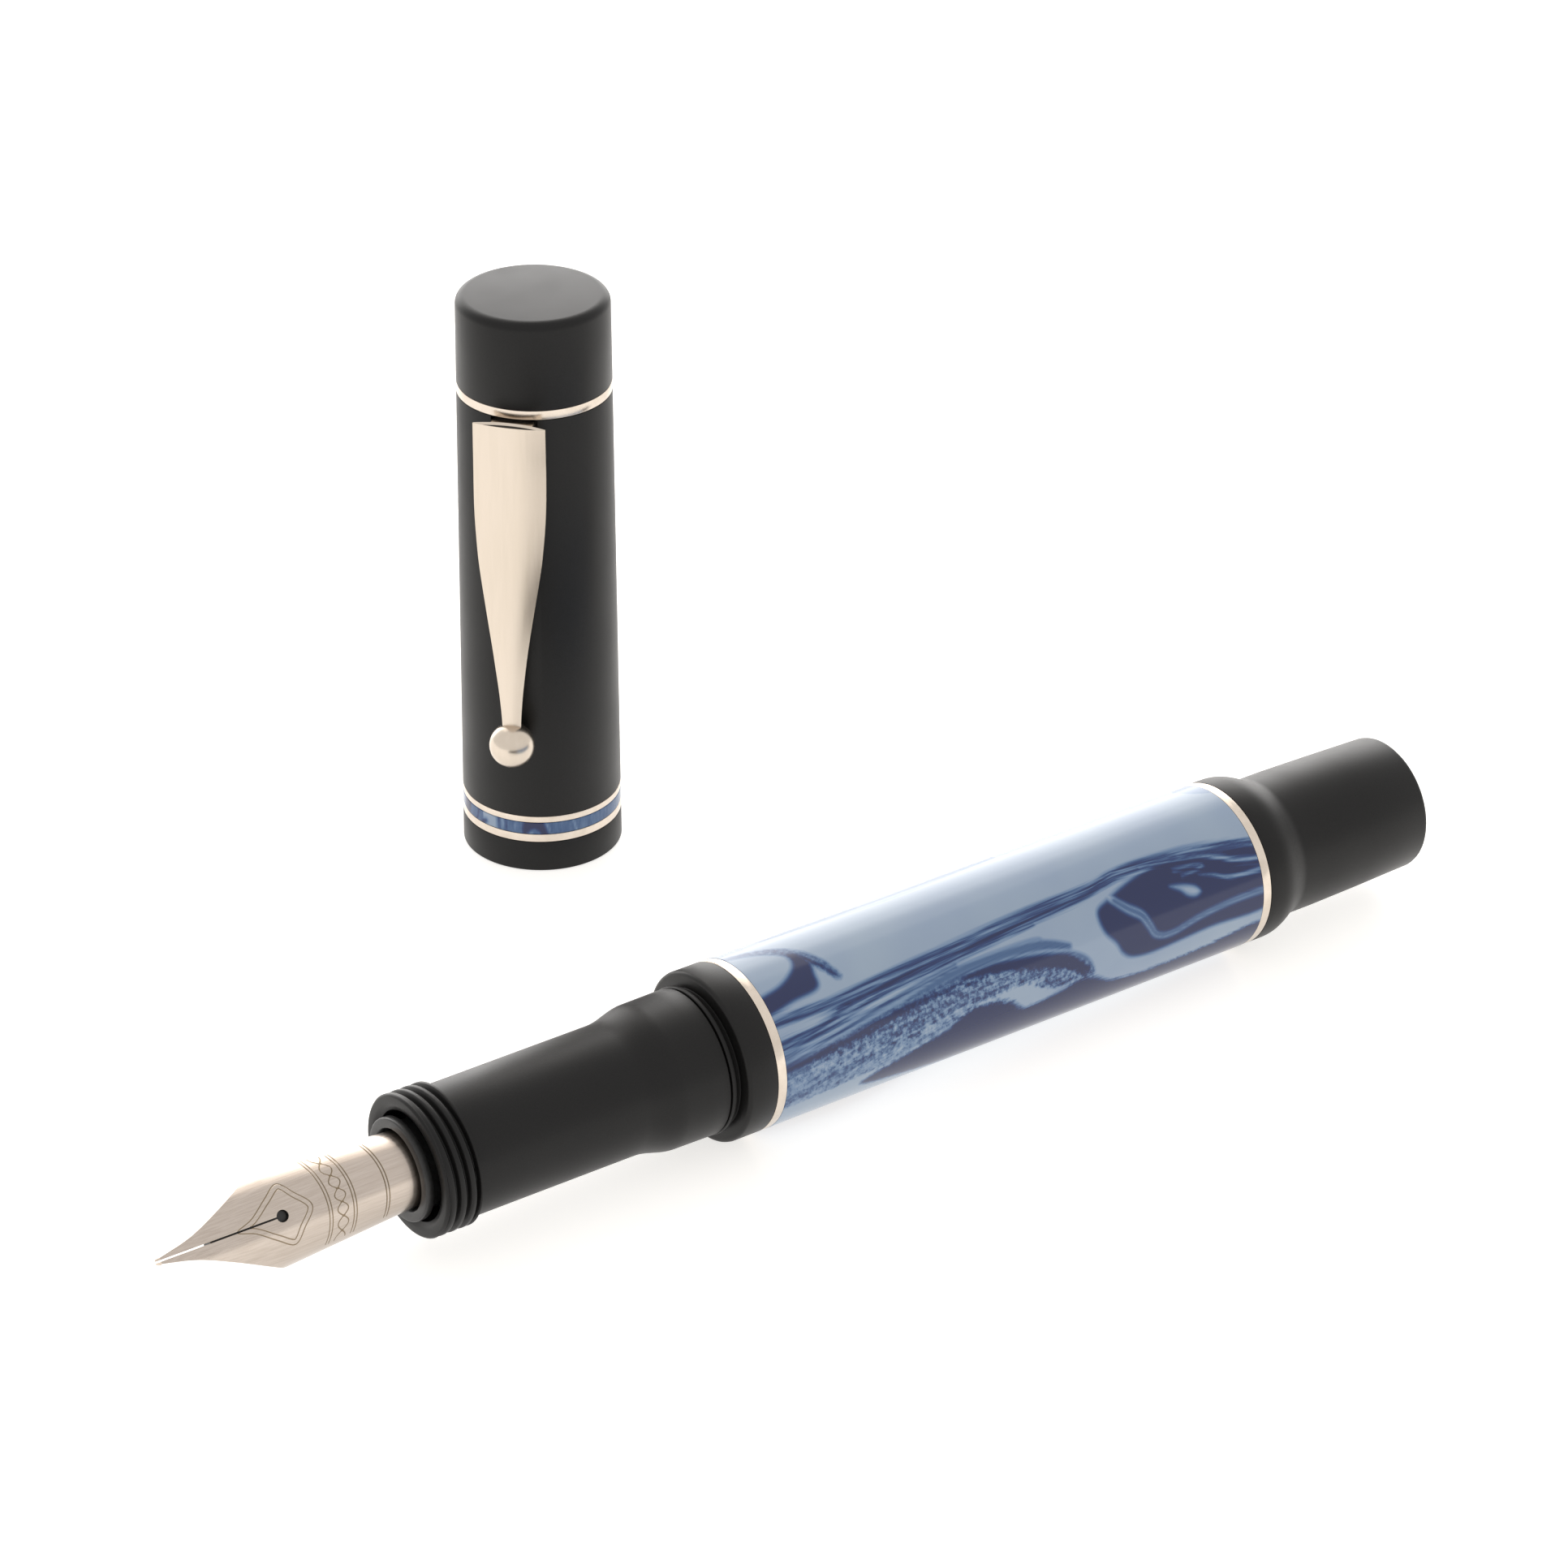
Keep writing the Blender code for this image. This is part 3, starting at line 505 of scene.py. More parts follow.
def signed_distance(spots, points, widths=None):
    """How far inside a closed shape, or inside a stroke of these widths, each spot is."""
    closed = widths is None
    line = smooth_line(points, closed)
    ends = np.roll(line, -1, axis=0)
    count = len(line) if closed else len(line) - 1
    best = np.full(len(spots), 99.0)
    share = np.zeros(len(spots))
    inside = np.zeros(len(spots), bool)
    for number in range(count):
        start, end = line[number], ends[number]
        along = end - start
        offset = spots - start
        t = np.clip(offset @ along / max(along @ along, 1e-9), 0.0, 1.0)
        away = np.hypot(*(offset - t[:, None] * along).T)
        share = np.where(away < best, (number + t) / count, share)
        best = np.minimum(best, away)
        crosses = (start[1] > spots[:, 1]) != (end[1] > spots[:, 1])
        rise = along[1] if abs(along[1]) > 1e-9 else 1e-9
        crossing = start[0] + (spots[:, 1] - start[1]) * along[0] / rise
        inside ^= crosses & (spots[:, 0] < crossing)
    if closed:
        return np.where(inside, best, -best)
    return np.interp(share, np.linspace(0, 1, len(widths)), widths) / 2 - best


def near(spots, points):
    corners = np.array(points, float)
    low, high = corners.min(0) - REACH, corners.max(0) + REACH
    return ((spots > low) & (spots < high)).all(1)


def pour(spots, depth, tone, points, widths=None):
    close = near(spots, points)
    inside = signed_distance(spots[close], points, widths)
    if tone == "pale":
        depth[close] = np.minimum(depth[close], -inside)
    else:
        depth[close] = np.maximum(depth[close], np.minimum(inside, TONES[tone]))


def mask_of(spots, regions, softness):
    """The strongest of several regions, each a strength and a closed shape."""
    mask = np.zeros(len(spots))
    for strength, points in regions:
        close = near(spots, points)
        inside = np.clip(0.5 + signed_distance(spots[close], points) / softness, 0, 1)
        mask[close] = np.maximum(mask[close], strength * inside)
    return mask

# %% The barrel's pours
END = BARREL_END - RING_WIDTH + 1.0     # just past the barrel's rear face

EYE_POURS = [
    ("mid", [(-1, 9.2), (2, 8.4), (4.3, 7.2), (5.9, 5.6), (6.9, 4.0), (7.7, 2.5)],
     (0.3, 0.5, 0.7, 0.8, 0.7, 0.3)),
    ("navy", [(-1, 2.6), (2, 3.3), (3.8, 4.2), (4.7, 5.2), (4.8, 6.4), (5.5, 6.1), (6.0, 4.8),
              (5.7, 3.4), (5.2, 2.1), (2.5, 1.75), (-1, 1.2)], None),
    ("navy", [(5.2, 6.3), (6.1, 5.0), (7.0, 3.6), (7.7, 2.5)], (0.3, 0.45, 0.4, 0.15)),
]
BAND_POURS = [
    ("mid", [(-1, 0.5), (10, 0.95), (20, 1.65), (27, 2.05), (35, 2.2), (40, 2.8), (46, 2.35),
             (50, 1.75), (END, 0.7), (END, -0.3), (50, 0.8), (45, 1.7), (40, 2.0), (36, 1.6),
             (30, 1.4), (20, 0.9), (10, 0.3), (-1, 0.1)], None),
    ("navy", [(-1, 0.38), (5, 0.55), (10, 0.85), (20, 1.5), (27, 1.95), (35, 2.1), (38, 2.55),
              (42, 2.6), (47, 2.15), (50, 1.55), (END, 0.5)],
     (0.18, 0.25, 0.3, 0.2, 0.28, 0.2, 0.3, 0.3, 0.2)),
    ("navy", [(-1, 0.3), (6, 0.12), (10, 0.1), (15, 0.42), (20, 0.75), (28, 1.15), (34, 1.45),
              (37, 1.95), (41, 2.1), (45, 1.85)], (0.15, 0.25, 0.5, 0.5, 0.4, 0.35, 0.3)),
    ("pale", [(-1, 0.08), (3, 0.08), (6.5, -0.3), (4, -0.9), (-1, -1.2)], None),
    ("navy", [(-1, -1.5), (3, -1.38), (5, -1.05), (7, -0.45), (10, 0.05), (15, 0.35)],
     (0.4, 0.35, 0.4, 0.3, 0.2)),
    ("navy", [(6.3, -0.32), (7.5, -0.1), (9.5, 0.1)], (0.1, 0.45, 0.2)),
    ("mid", [(-1, -2.0), (4, -1.75), (8, -0.95), (12, -0.25), (20, 0.25), (28, 0.75)],
     (0.16, 0.2, 0.14, 0.12, 0.1)),
    ("mid", [(-1, -2.75), (5, -2.35), (10, -1.6), (14, -0.95), (19, -0.35)],
     (0.30, 0.24, 0.2, 0.14)),
]
BODY_POURS = [
    ("mid", [(-1, -3.4), (5, -2.95), (10, -2.25), (14, -1.75), (18, -1.3), (22, -1.4),
              (26, -1.9), (30, -2.6), (32.4, -3.7), (33.4, -5.2), (33.2, -6.2), (31.5, -5.4),
              (29, -4.4), (25, -3.9), (22, -4.1), (18, -4.1), (15, -4.4), (12, -4.6),
              (8, -4.0), (5, -4.2), (-1, -4.7)], None),
    ("navy", [(-1, -3.9), (5, -3.45), (10, -2.8), (15, -2.3), (19, -2.0)],
     (0.7, 0.8, 0.9, 0.6, 0.2)),
    ("navy", [(19, -1.6), (23, -1.9), (27, -2.6), (30.5, -3.6), (32.6, -5.2)],
     (0.3, 0.9, 1.3, 1.5, 1.2)),
    ("haze", [(10, -2.1), (14, -1.3), (18, -0.65), (23, -0.55), (28, -0.8), (27, -1.7),
              (22, -1.9), (15, -2.2)], None),
    ("mid", [(13, -1.9), (18, -1.1), (23, -0.9), (28, -1.3), (31, -2.3)],
     (0.2, 0.5, 0.4, 0.5, 0.2)),
    ("haze", [(-1, -4.7), (6, -4.2), (12, -4.6), (18, -4.3), (19.5, -5.0), (16, -6.4),
              (8, -7.2), (3, -7.6), (-1, -7.5)], None),
    ("mid", [(-1, -7.3), (2, -6.9), (6, -6.0), (10, -5.6), (14, -5.2)], (0.9, 0.6, 0.5, 0.3)),
    ("navy", [(8.5, -8.7), (12, -7.3), (17, -6.0), (20, -4.7), (24, -5.4), (26, -6.9),
              (30, -6.5), (32, -5.9), (34, -6.5), (36, -7.6), (40, -8.15), (46, -8.1),
              (END, -7.6), (END, -13.8), (40, -13.4), (30, -12.6), (20, -11.2),
              (13, -9.8)], None),
    ("pale", [(20.6, -3.9), (24, -4.4), (25.3, -5.6), (27, -6.6), (29.6, -6.2), (30, -5.4),
              (28, -4.7), (25, -4.1)], None),
    ("mid", [(27.5, -4.6), (29.5, -5.2), (31.5, -5.3)], (0.3, 0.9, 0.6)),
]
RIGHT_POURS = [
    ("navy", [(35.1, -0.2), (36.5, 0.35), (38.4, 1.0), (41, 1.6), (44, 1.85), (49, 1.2),
              (END, -0.2), (END, -5.35), (47, -5.5), (41, -5.85), (38.3, -5.6), (37.0, -4.8),
              (36.3, -3.6), (35.3, -2.4), (34.9, -1.2)], None),
    ("pale", [(36.3, 1.1), (36.9, 0.2), (38.0, -0.9), (39.4, -2.0), (40.1, -3.2), (40.8, -4.3),
              (42.6, -4.7), (46, -4.1), (50, -3.8), (END, -3.9)],
     (1.0, 0.8, 0.95, 0.75, 0.62, 0.6, 0.55, 0.6)),
    ("mid", [(37.0, 0.1), (38.1, -0.95), (39.45, -2.0), (40.15, -3.2), (40.9, -4.25),
             (42.7, -4.6), (46, -4.0), (50, -3.75), (END, -3.8)], (0.10, 0.12, 0.14, 0.1)),
    ("pale", [(43.1, -0.4), (44.6, -0.62), (45.9, -1.1), (46.4, -1.8), (45.7, -2.15),
              (44.8, -1.85), (44.1, -1.15)], None),
    ("pale", [(41.0, 2.05), (44, 1.75), (47.2, 1.25), (49.4, 0.45), (51, -0.3), (END, -1.0)],
     (0.1, 0.3, 0.42, 0.5, 0.42)),
    ("mid", [(42.8, 1.4), (46, 1.2), (48.2, 0.5), (49.8, -0.5), (51.5, -1.0), (END, -1.35)],
     (0.1, 0.3, 0.35, 0.3, 0.4)),
    ("pale", [(44.2, 0.8), (46.2, 0.68), (47.3, 0.35), (46.1, 0.08), (44.8, 0.05)],
     (0.16, 0.26, 0.3, 0.2, 0.1)),
    ("pale", [(46.6, -0.35), (48.2, -0.85), (49.6, -1.55), (51.5, -1.75), (END, -1.7)],
     (0.1, 0.35, 0.4, 0.3, 0.26)),
    ("mid", [(47.9, 0.1), (49.0, -0.5), (50.4, -1.15), (END, -1.3)], (0.2, 0.3, 0.3)),
]
FAR_POURS = [
    ("haze", [(5, 10.5), (12, 9.9), (18, 9.6), (24, 9.9), (30, 10.3)], (0.2, 0.5, 0.5, 0.3)),
    ("haze", [(51.2, 10), (53, 10.8), (END, 11), (END, 7.6), (52.2, 8.2)], None),
    ("navy", [(-1, 15.4), (9, 14.6), (20, 15.6), (31, 14.2), (36, 13.4), (41, 14.6),
              (33, 16.0), (22, 17.2), (8, 16.4), (-1, 17.2)], None),
    ("pale", [(24, 15.6), (30, 15.0), (35, 14.3), (31, 15.6)], None),
    ("mid", [(-1, 19.0), (12, 18.2), (26, 19.4), (40, 17.6), (END, 19.2)],
     (0.5, 0.9, 0.5, 0.8)),
    ("navy", [(40, 19.8), (45, 18.9), (50, 19.4), (END, 18.8), (END, 21.0), (48, 21.4)], None),
    ("navy", [(-1, -14.8), (8, -13.6), (16, -14.8), (24, -16.6), (34, -17.4), (44, -16.4),
              (END, -17.0), (END, -18.2), (42, -18.4), (32, -19.4), (20, -18.4), (8, -16.2),
              (-1, -16.6)], None),
    ("pale", [(10, -14.8), (17, -15.9), (22, -17.2), (16, -16.9)], None),
    ("mid", [(-1, -19.4), (14, -20.6), (30, -21.6), (44, -20.2), (END, -20.8)],
     (0.6, 1.0, 0.6, 0.9)),
    ("mid", [(-1, 12.2), (10, 11.6), (22, 12.4), (34, 11.4), (46, 12.6), (END, 12.0)],
     (0.3, 0.6, 0.3, 0.7, 0.3)),
    ("navy", [(6, 18.0), (14, 17.6), (22, 18.3), (30, 17.4), (38, 17.0)],
     (0.1, 0.5, 0.2, 0.4, 0.1)),
    ("mid", [(-1, 22.6), (12, 23.4), (26, 22.4), (40, 23.6), (END, 22.8)],
     (0.8, 1.2, 0.6, 1.0)),
    ("navy", [(4, 23.2), (16, 23.0), (28, 22.4), (40, 23.2)], (0.1, 0.4, 0.5, 0.1)),
]
LAYERED = [
    (1.3, [(-1, 0.95), (10, 1.2), (20, 1.85), (30, 2.35), (38, 2.9), (45, 2.8), (END, 1.3),
            (END, -3.2), (48, -2.5), (44, 0.3), (40, 1.6), (36, 1.2), (28, 0.2), (18, -0.4),
            (10, -1.8), (-1, -3.2)]),
    (0.6, [(-1, -3.4), (10, -2.2), (22, -1.2), (31, -2.4), (33.6, -5.6), (END, -7.4),
           (END, -13.6), (24, -12.0), (8, -8.8), (-1, -5.0)]),
    (0.9, [(-1, 14), (20, 14), (40, 13), (END, 17), (END, 21.4), (20, 20.4), (-1, 20.4)]),
    (0.9, [(-1, -14), (20, -15), (40, -16), (END, -16.4), (END, -21.4), (20, -22),
           (-1, -20)]),
]
RAGGED = [
    (1.7, [(3, -3.5), (10, -2.4), (14, -1.9), (20, -1.7), (26, -2.4), (31, -3.5),
           (33.3, -5.0), (33.2, -6.3), (28, -5.9), (24, -5.6), (20, -5.4), (14, -5.8),
           (8, -6.0), (3, -5.4)]),
    (1.1, [(-1, -4.6), (8, -3.8), (18, -4.6), (17, -6.4), (9, -8.4), (-1, -8.0)]),
    (0.7, [(8, -8.0), (20, -5.6), (34, -7.0), (END, -7.0), (END, -9.2), (30, -9.0),
           (12, -10.6)]),
    (0.8, [(1, 9.4), (5, 7.6), (7.2, 5.2), (8.3, 2.4), (6.9, 2.3), (5.6, 4.6), (3, 7.4)]),
    (1.0, [(-1, -17.5), (20, -19.6), (40, -19.4), (END, -18.8), (END, -17.6), (20, -18.0)]),
]
BAND_MIDDLE = np.array([(0, -0.5), (10, 0.2), (20, 0.9), (28, 1.3), (35, 1.6), (38, 2.0),
                        (42, 1.7), (47, 0.6), (END, -0.9)])
BAND_HALF = np.array([(0, 1.4), (10, 1.0), (20, 0.8), (35, 0.75), (42, 0.9), (47, 1.5),
                      (END, 1.9)])
BARREL_POURS = EYE_POURS + BAND_POURS + BODY_POURS + RIGHT_POURS + FAR_POURS
print("pours on the barrel:", len(BARREL_POURS))

# %% [markdown]
# ## Barrel tube
# The tube is spun with a fine net of vertices on its outside, because its colour is stored
# on them: one every sixth of a millimetre in each direction keeps every streak's edge clean.

# %% Barrel tube
NET_MM = 0.166
FACING = math.radians(142.25)    # around the pen's axis, the line that faces the camera
BORE_R = 6.20

front, rear = RING_WIDTH, BARREL_END
outline = [(front, BORE_R, 0.1), (front, BARREL_R, 0.04)]
outline += rows(front + 0.08, rear - 0.08, BARREL_R, NET_MM)
outline += [(rear, BARREL_R, 0.04), (rear, BORE_R, 0.1)]
barrel = finish("barrel_tube", turn(outline, sides=284), PEN_AT, marbled_resin)


def mark(piece, name, values):
    """Stores one value, or one vector, on each vertex."""
    kind = "FLOAT" if values.ndim == 1 else "FLOAT_VECTOR"
    attribute = piece.data.attributes.new(name, kind, "POINT")
    key = "value" if values.ndim == 1 else "vector"
    attribute.data.foreach_set(key, values.astype(np.float32).ravel())


def vertices_in_mm(piece, at):
    spots = np.zeros(len(piece.data.vertices) * 3)
    piece.data.vertices.foreach_get("co", spots)
    return spots.reshape(-1, 3) / MM - np.array(at)


def marble(piece, unrolled, pours, layers, ragged, flow):
    """Pours the resins on a piece's unrolled surface, and stores what its material reads."""
    depth = np.full(len(unrolled), -REACH)
    for tone, points, widths in pours:
        pour(unrolled, depth, tone, points, widths)
    mark(piece, "navy_depth", np.clip(depth, *DEPTH_LIMITS))
    mark(piece, "layers", layers)
    mark(piece, "ragged", ragged)
    mark(piece, "flow", np.column_stack([*flow, np.zeros(len(unrolled))]))
    print("navy share of", piece.name, round(float((depth > 0).mean()), 2))


spots = vertices_in_mm(barrel, PEN_AT)
turned = np.angle(np.exp(1j * (FACING - np.arctan2(spots[:, 2], spots[:, 1]))))
unrolled = np.column_stack([spots[:, 0] - RING_WIDTH, turned * BARREL_R])
middle = np.interp(unrolled[:, 0], *BAND_MIDDLE.T)
half = np.interp(unrolled[:, 0], *BAND_HALF.T)
marble(barrel, unrolled, BARREL_POURS, mask_of(unrolled, LAYERED, 0.8),
       mask_of(unrolled, RAGGED, 1.0),
       (unrolled[:, 0] * 0.035, (unrolled[:, 1] - middle) / half * 0.95))

# %% [markdown]
# ## Trim rings
# Each ring is a plain polished band set flush between two turned parts. It shows as bright
# metal with a hair-thin dark line on each side, which is the gap beside its rounded edges.

# %% Trim rings on the barrel
TRIM_R = 7.79
RING_BORE_R = 6.20
SEAM = 0.05

for node, front in (("front_trim_ring", SEAM), ("rear_trim_ring", BARREL_END + SEAM)):
    rear = front + RING_WIDTH - SEAM
    outline = [(front, RING_BORE_R), (front, TRIM_R, 0.05), (rear, TRIM_R, 0.05),
               (rear, RING_BORE_R)]
    finish(node, turn(outline), PEN_AT, ring_nickel)

# %% [markdown]
# ## Front collar and tail
# Both are turned from black rod. The collar ends in a lip behind a narrow groove, which
# throws the dark line beside the grip. The tail steps down in one smooth ogee from the
# barrel's width to a slimmer post, and its end has a small round edge.

# %% Front collar
COLLAR_FACE = -2.94
TENON_R, TENON_LENGTH = 6.10, 8.0

outline = [(-3.96, 5.65, 0.05), (-3.96, 6.73, 0.12), (-3.49, 6.73, 0.10), (-3.42, 6.35, 0.05),
           (COLLAR_FACE, 6.35, 0.05), (COLLAR_FACE, TRIM_R, 0.38), (0.0, TRIM_R, 0.04),
           (0.0, TENON_R), (TENON_LENGTH, TENON_R, 0.2), (TENON_LENGTH, 5.30, 0.1),
           (-3.10, 5.30, 0.05), (-3.10, 5.65, 0.05)]
finish("barrel_front_collar", turn(outline), PEN_AT, black_resin)

# %% Tail
TAIL_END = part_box("barrel_tail")[1].x / MM - PEN_AT.x
TAIL_BORE_R, TAIL_BORE_END = 4.60, 69.5
SHOULDER = BARREL_END + RING_WIDTH + SEAM

outline = [(TAIL_BORE_END, 0.0), (TAIL_BORE_END, TAIL_BORE_R, 0.4),
           (BARREL_END - TENON_LENGTH, TAIL_BORE_R, 0.2),
           (BARREL_END - TENON_LENGTH, TENON_R, 0.2), (SHOULDER, TENON_R),
           (SHOULDER, TRIM_R, 0.04), (56.7, TRIM_R)]
outline += ogee((56.7, TRIM_R), (60.6, 6.63), 1.25, steps=18)
outline += [(60.6, 6.63), (63.2, 6.64), (68.8, 6.54), (TAIL_END, 6.37, 0.4), (TAIL_END, 0.0)]
finish("barrel_tail", turn(outline), PEN_AT, black_resin)
print("tail ends at", round(TAIL_END, 2))

# %% [markdown]
# ## Grip section
# The grip is one turned tube: a wide mouth for the nib unit, the thread that holds the cap,
# a slim waist for the fingers, an ogee up to the collar, and a threaded tenon that screws
# into the barrel. The thread's crests are wide and rounded and its valleys narrow, and both
# ends run out.

# %% Grip section
GRIP_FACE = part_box("grip_section")[0].x / MM - PEN_AT.x
GRIP_CREST_R, GRIP_CUT, GRIP_PITCH = 6.38, 0.50, 1.0
GRIP_THREAD = (GRIP_FACE + 0.20, -29.07)
SECTION_BORE_R = 4.06
TENON_CREST_R, TENON_CUT, TENON_PITCH = 5.20, 0.22, 1.0
TENON_THREAD = (-2.4, 4.1)

outline = [(4.5, SECTION_BORE_R, 0.1), (-29.6, SECTION_BORE_R, 0.1), (-29.6, 4.92, 0.1),
           (GRIP_FACE + 0.28, 4.92, 0.05), (GRIP_FACE, 5.45, 0.15), (GRIP_FACE, 6.24, 0.12)]
outline += rows(*GRIP_THREAD, GRIP_CREST_R, 0.04)
outline += [(-29.03, 5.86), (-28.62, 5.86), (-28.48, 5.885), (-24.0, 5.895), (-18.0, 5.91),
            (-12.3, 5.924)]
outline += ogee((-12.3, 5.924), (-8.3, 6.62), 1.15, steps=18)
outline += [(-8.3, 6.62), (-6.0, 6.65), (-4.09, 6.68, 0.12), (-4.09, 4.72, 0.05), (-3.15, 4.72),
            (-2.95, TENON_CREST_R)]
outline += rows(*TENON_THREAD, TENON_CREST_R, 0.08)
outline += [(4.5, 4.95)]
shape = turn(outline, sides=192)
cut_thread(shape, *GRIP_THREAD, GRIP_CREST_R, GRIP_CUT, GRIP_PITCH, sharpness=2.2)
cut_thread(shape, *TENON_THREAD, TENON_CREST_R, TENON_CUT, TENON_PITCH)
finish("grip_section", shape, PEN_AT, black_resin, sharp=50.0)
print("grip face at", round(GRIP_FACE, 2), "thread of", GRIP_PITCH, "mm pitch")

# %% [markdown]
# ## Sealing ring
# A rubber ring fills the step between grip and collar and keeps the ink in. Its section is a
# small circle, so the same lathe spins a ring of points instead of an outline with corners.

# %% Sealing ring between grip and collar
SEAL_MIDDLE, SEAL_R, SEAL_WIRE = -3.60, 5.17, 0.40

outline = [(SEAL_MIDDLE + SEAL_WIRE * math.cos(math.tau * step / 20),
            SEAL_R + SEAL_WIRE * math.sin(math.tau * step / 20)) for step in range(20)]
finish("section_o_ring", turn(outline, sides=96), PEN_AT, seal_rubber)

# %% [markdown]
# ## Nib housing
# The housing is the moulded sleeve that holds nib and feed together. Its flange and its wide
# bore show in the mouth of the grip, and its own thread screws it into the section.

# %% Nib housing
HOUSING_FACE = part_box("nib_housing")[0].x / MM - PEN_AT.x
HOUSING_BORE_R = 3.45
FLANGE_REAR = HOUSING_FACE + 0.76
HOUSING_THREAD = (-29.3, -25.3)

outline = [(HOUSING_FACE, 3.74, 0.06), (HOUSING_FACE, 4.60, 0.16), (FLANGE_REAR, 4.60, 0.08),
           (FLANGE_REAR, 3.90), (-29.35, 3.90)]
outline += rows(*HOUSING_THREAD, 4.0, 0.05)
outline += [(-25.25, 3.85), (-18.6, 3.85, 0.2), (-18.6, 1.90, 0.1), (-12.5, 1.75, 0.15),
            (-12.5, 0.90, 0.1), (-20.0, 0.90), (-20.0, HOUSING_BORE_R),
            (HOUSING_FACE + 0.61, HOUSING_BORE_R)]
shape = turn(outline, sides=144)
cut_thread(shape, *HOUSING_THREAD, 4.0, 0.16, 0.5)
finish("nib_housing", shape, PEN_AT, moulded_abs)

# %% [markdown]
# ## Nib
# A nib is stamped from sheet steel, bent across, ground to its outline, and cut with a slit
# and a breather hole. It is made here in that order: one flat net for each tine, bent to the
# radius of the feed, joined behind the hole, given its thickness, and rounded at its rim.
# The engraving is pressed into the top face afterwards. It is a plain ornament of the
# lesson's own: a lozenge around the hole, a twisted band, and two lines across the heel.

# %% Nib's measures
NIB_TILT = Matrix.Rotation(math.radians(56.0), 3, "X")
NIB_FRONT, NIB_REAR, NIB_HOLE = -56.95, -22.4, -45.95
NIB_R, NIB_BEND_R, NIB_SHEET = 3.39, 4.40, 0.25
NIB_SHOULDER, HOLE_R, SLIT_HALF = -46.1, 0.52, 0.075
NIB_EDGE = np.array([(0, 0.27), (1.0, 0.49), (2.3, 0.79), (3.7, 1.24), (6.1, 2.25),
                     (8.8, 3.43), (10.4, 4.07), (11.1, 4.26), (11.9, 4.24), (16, 3.92),
                     (HOUSING_FACE - NIB_FRONT, NIB_R)])
EDGE_LINE = smooth_line(NIB_EDGE, closed=False)


def nib_half_width(x):
    return float(np.interp(x - NIB_FRONT, EDGE_LINE[:, 0], EDGE_LINE[:, 1]))


def nib_crown(x):
    ahead = max(HOUSING_FACE - x, 0.0) / (HOUSING_FACE - NIB_FRONT)
    return NIB_R - 1.15 * ahead ** 2.2


def nib_bend(x):
    share = min(max((x - NIB_SHOULDER) / (HOUSING_FACE - NIB_SHOULDER), 0.0), 1.0)
    return NIB_BEND_R + (NIB_R - NIB_BEND_R) * share


def nib_opening(x):
    across = math.sqrt(max(HOLE_R ** 2 - (x - NIB_HOLE) ** 2, 0.0))
    return max(across, SLIT_HALF if x < NIB_HOLE else 0.0)


hole_front, hole_rear = NIB_HOLE - HOLE_R, NIB_HOLE + HOLE_R
NIB_STATIONS = np.concatenate([
    np.linspace(NIB_FRONT, hole_front, 122),
    NIB_HOLE - HOLE_R * np.cos(np.linspace(0, math.pi, 19)[1:]),
    np.linspace(hole_rear, HOUSING_FACE + 0.2, 136)[1:],
    np.linspace(HOUSING_FACE + 0.2, NIB_REAR, 14)[1:]])
NIB_COLUMNS = 42
print("nib shows", round(HOUSING_FACE - NIB_FRONT, 1), "mm and is",
      round(2 * EDGE_LINE[:, 1].max(), 2), "mm wide")

# %% Nib's sheet
SEAM_WELD, RIM_ROUND = 0.004, 0.035


def bend_tine(side):
    """A flat net, bent and trimmed to one half of the nib."""
    tine = bmesh.new()
    bmesh.ops.create_grid(tine, x_segments=len(NIB_STATIONS) - 1, y_segments=NIB_COLUMNS,
                          size=1.0)
    for vert in tine.verts:
        row = round((vert.co.x + 1) / 2 * (len(NIB_STATIONS) - 1))
        x = float(NIB_STATIONS[row])
        bend = nib_bend(x)
        inner = math.asin(nib_opening(x) / bend)
        outer = math.asin(min(nib_half_width(x) / bend, 1.0))
        angle = inner + (outer - inner) * (vert.co.y + 1) / 2
        vert.co = (x, side * bend * math.sin(angle),
                   nib_crown(x) - bend + bend * math.cos(angle))
    return tine


nib = bend_tine(1)
other_mesh = bpy.data.meshes.new("other_tine")
other = bend_tine(-1)
other.to_mesh(other_mesh)
other.free()
nib.from_mesh(other_mesh)
bpy.data.meshes.remove(other_mesh)
bmesh.ops.remove_doubles(nib, verts=nib.verts, dist=SEAM_WELD)
bmesh.ops.recalc_face_normals(nib, faces=nib.faces)
if sum(face.normal.z for face in nib.faces) < 0:
    bmesh.ops.reverse_faces(nib, faces=nib.faces)
bmesh.ops.solidify(nib, geom=nib.faces[:], thickness=NIB_SHEET)
rim = [edge for edge in nib.edges if len(edge.link_faces) == 2
       and edge.calc_face_angle() > math.radians(60)]
bmesh.ops.bevel(nib, geom=rim, offset=RIM_ROUND, offset_type="OFFSET", segments=2,
                profile=0.5, affect="EDGES", material=-1)
print("nib sheet:", len(nib.faces), "faces, rim edges rounded:", len(rim))

# %% [markdown]
# ## The nib's ornament
# The lines are measured on the flat outline, seen from above: a double line is the edge of a
# lozenge and a second edge inside it, the cross lines are pairs beside a station that bends
# with the sheet, and the twist is two waves half a turn apart. Each measure is a signed
# distance, so that it passes through zero on the line itself.

# %% Nib's ornament
ORNAMENT_GAP, MARGIN_MM = 0.42, 0.45
LOZENGE = [(-50.1, 0), (-48.6, 0.62), (-46.9, 1.75), (-45.3, 2.6), (-44.3, 1.5), (-43.2, 0),
           (-44.3, -1.5), (-45.3, -2.6), (-46.9, -1.75), (-48.6, -0.62)]
TWIST_AT, TWIST_WIDE, TWIST_LONG = -40.6, 0.50, 2.3
CROSS_LINES, CROSS_GAP = (-41.75, -39.45, -36.3), 0.28

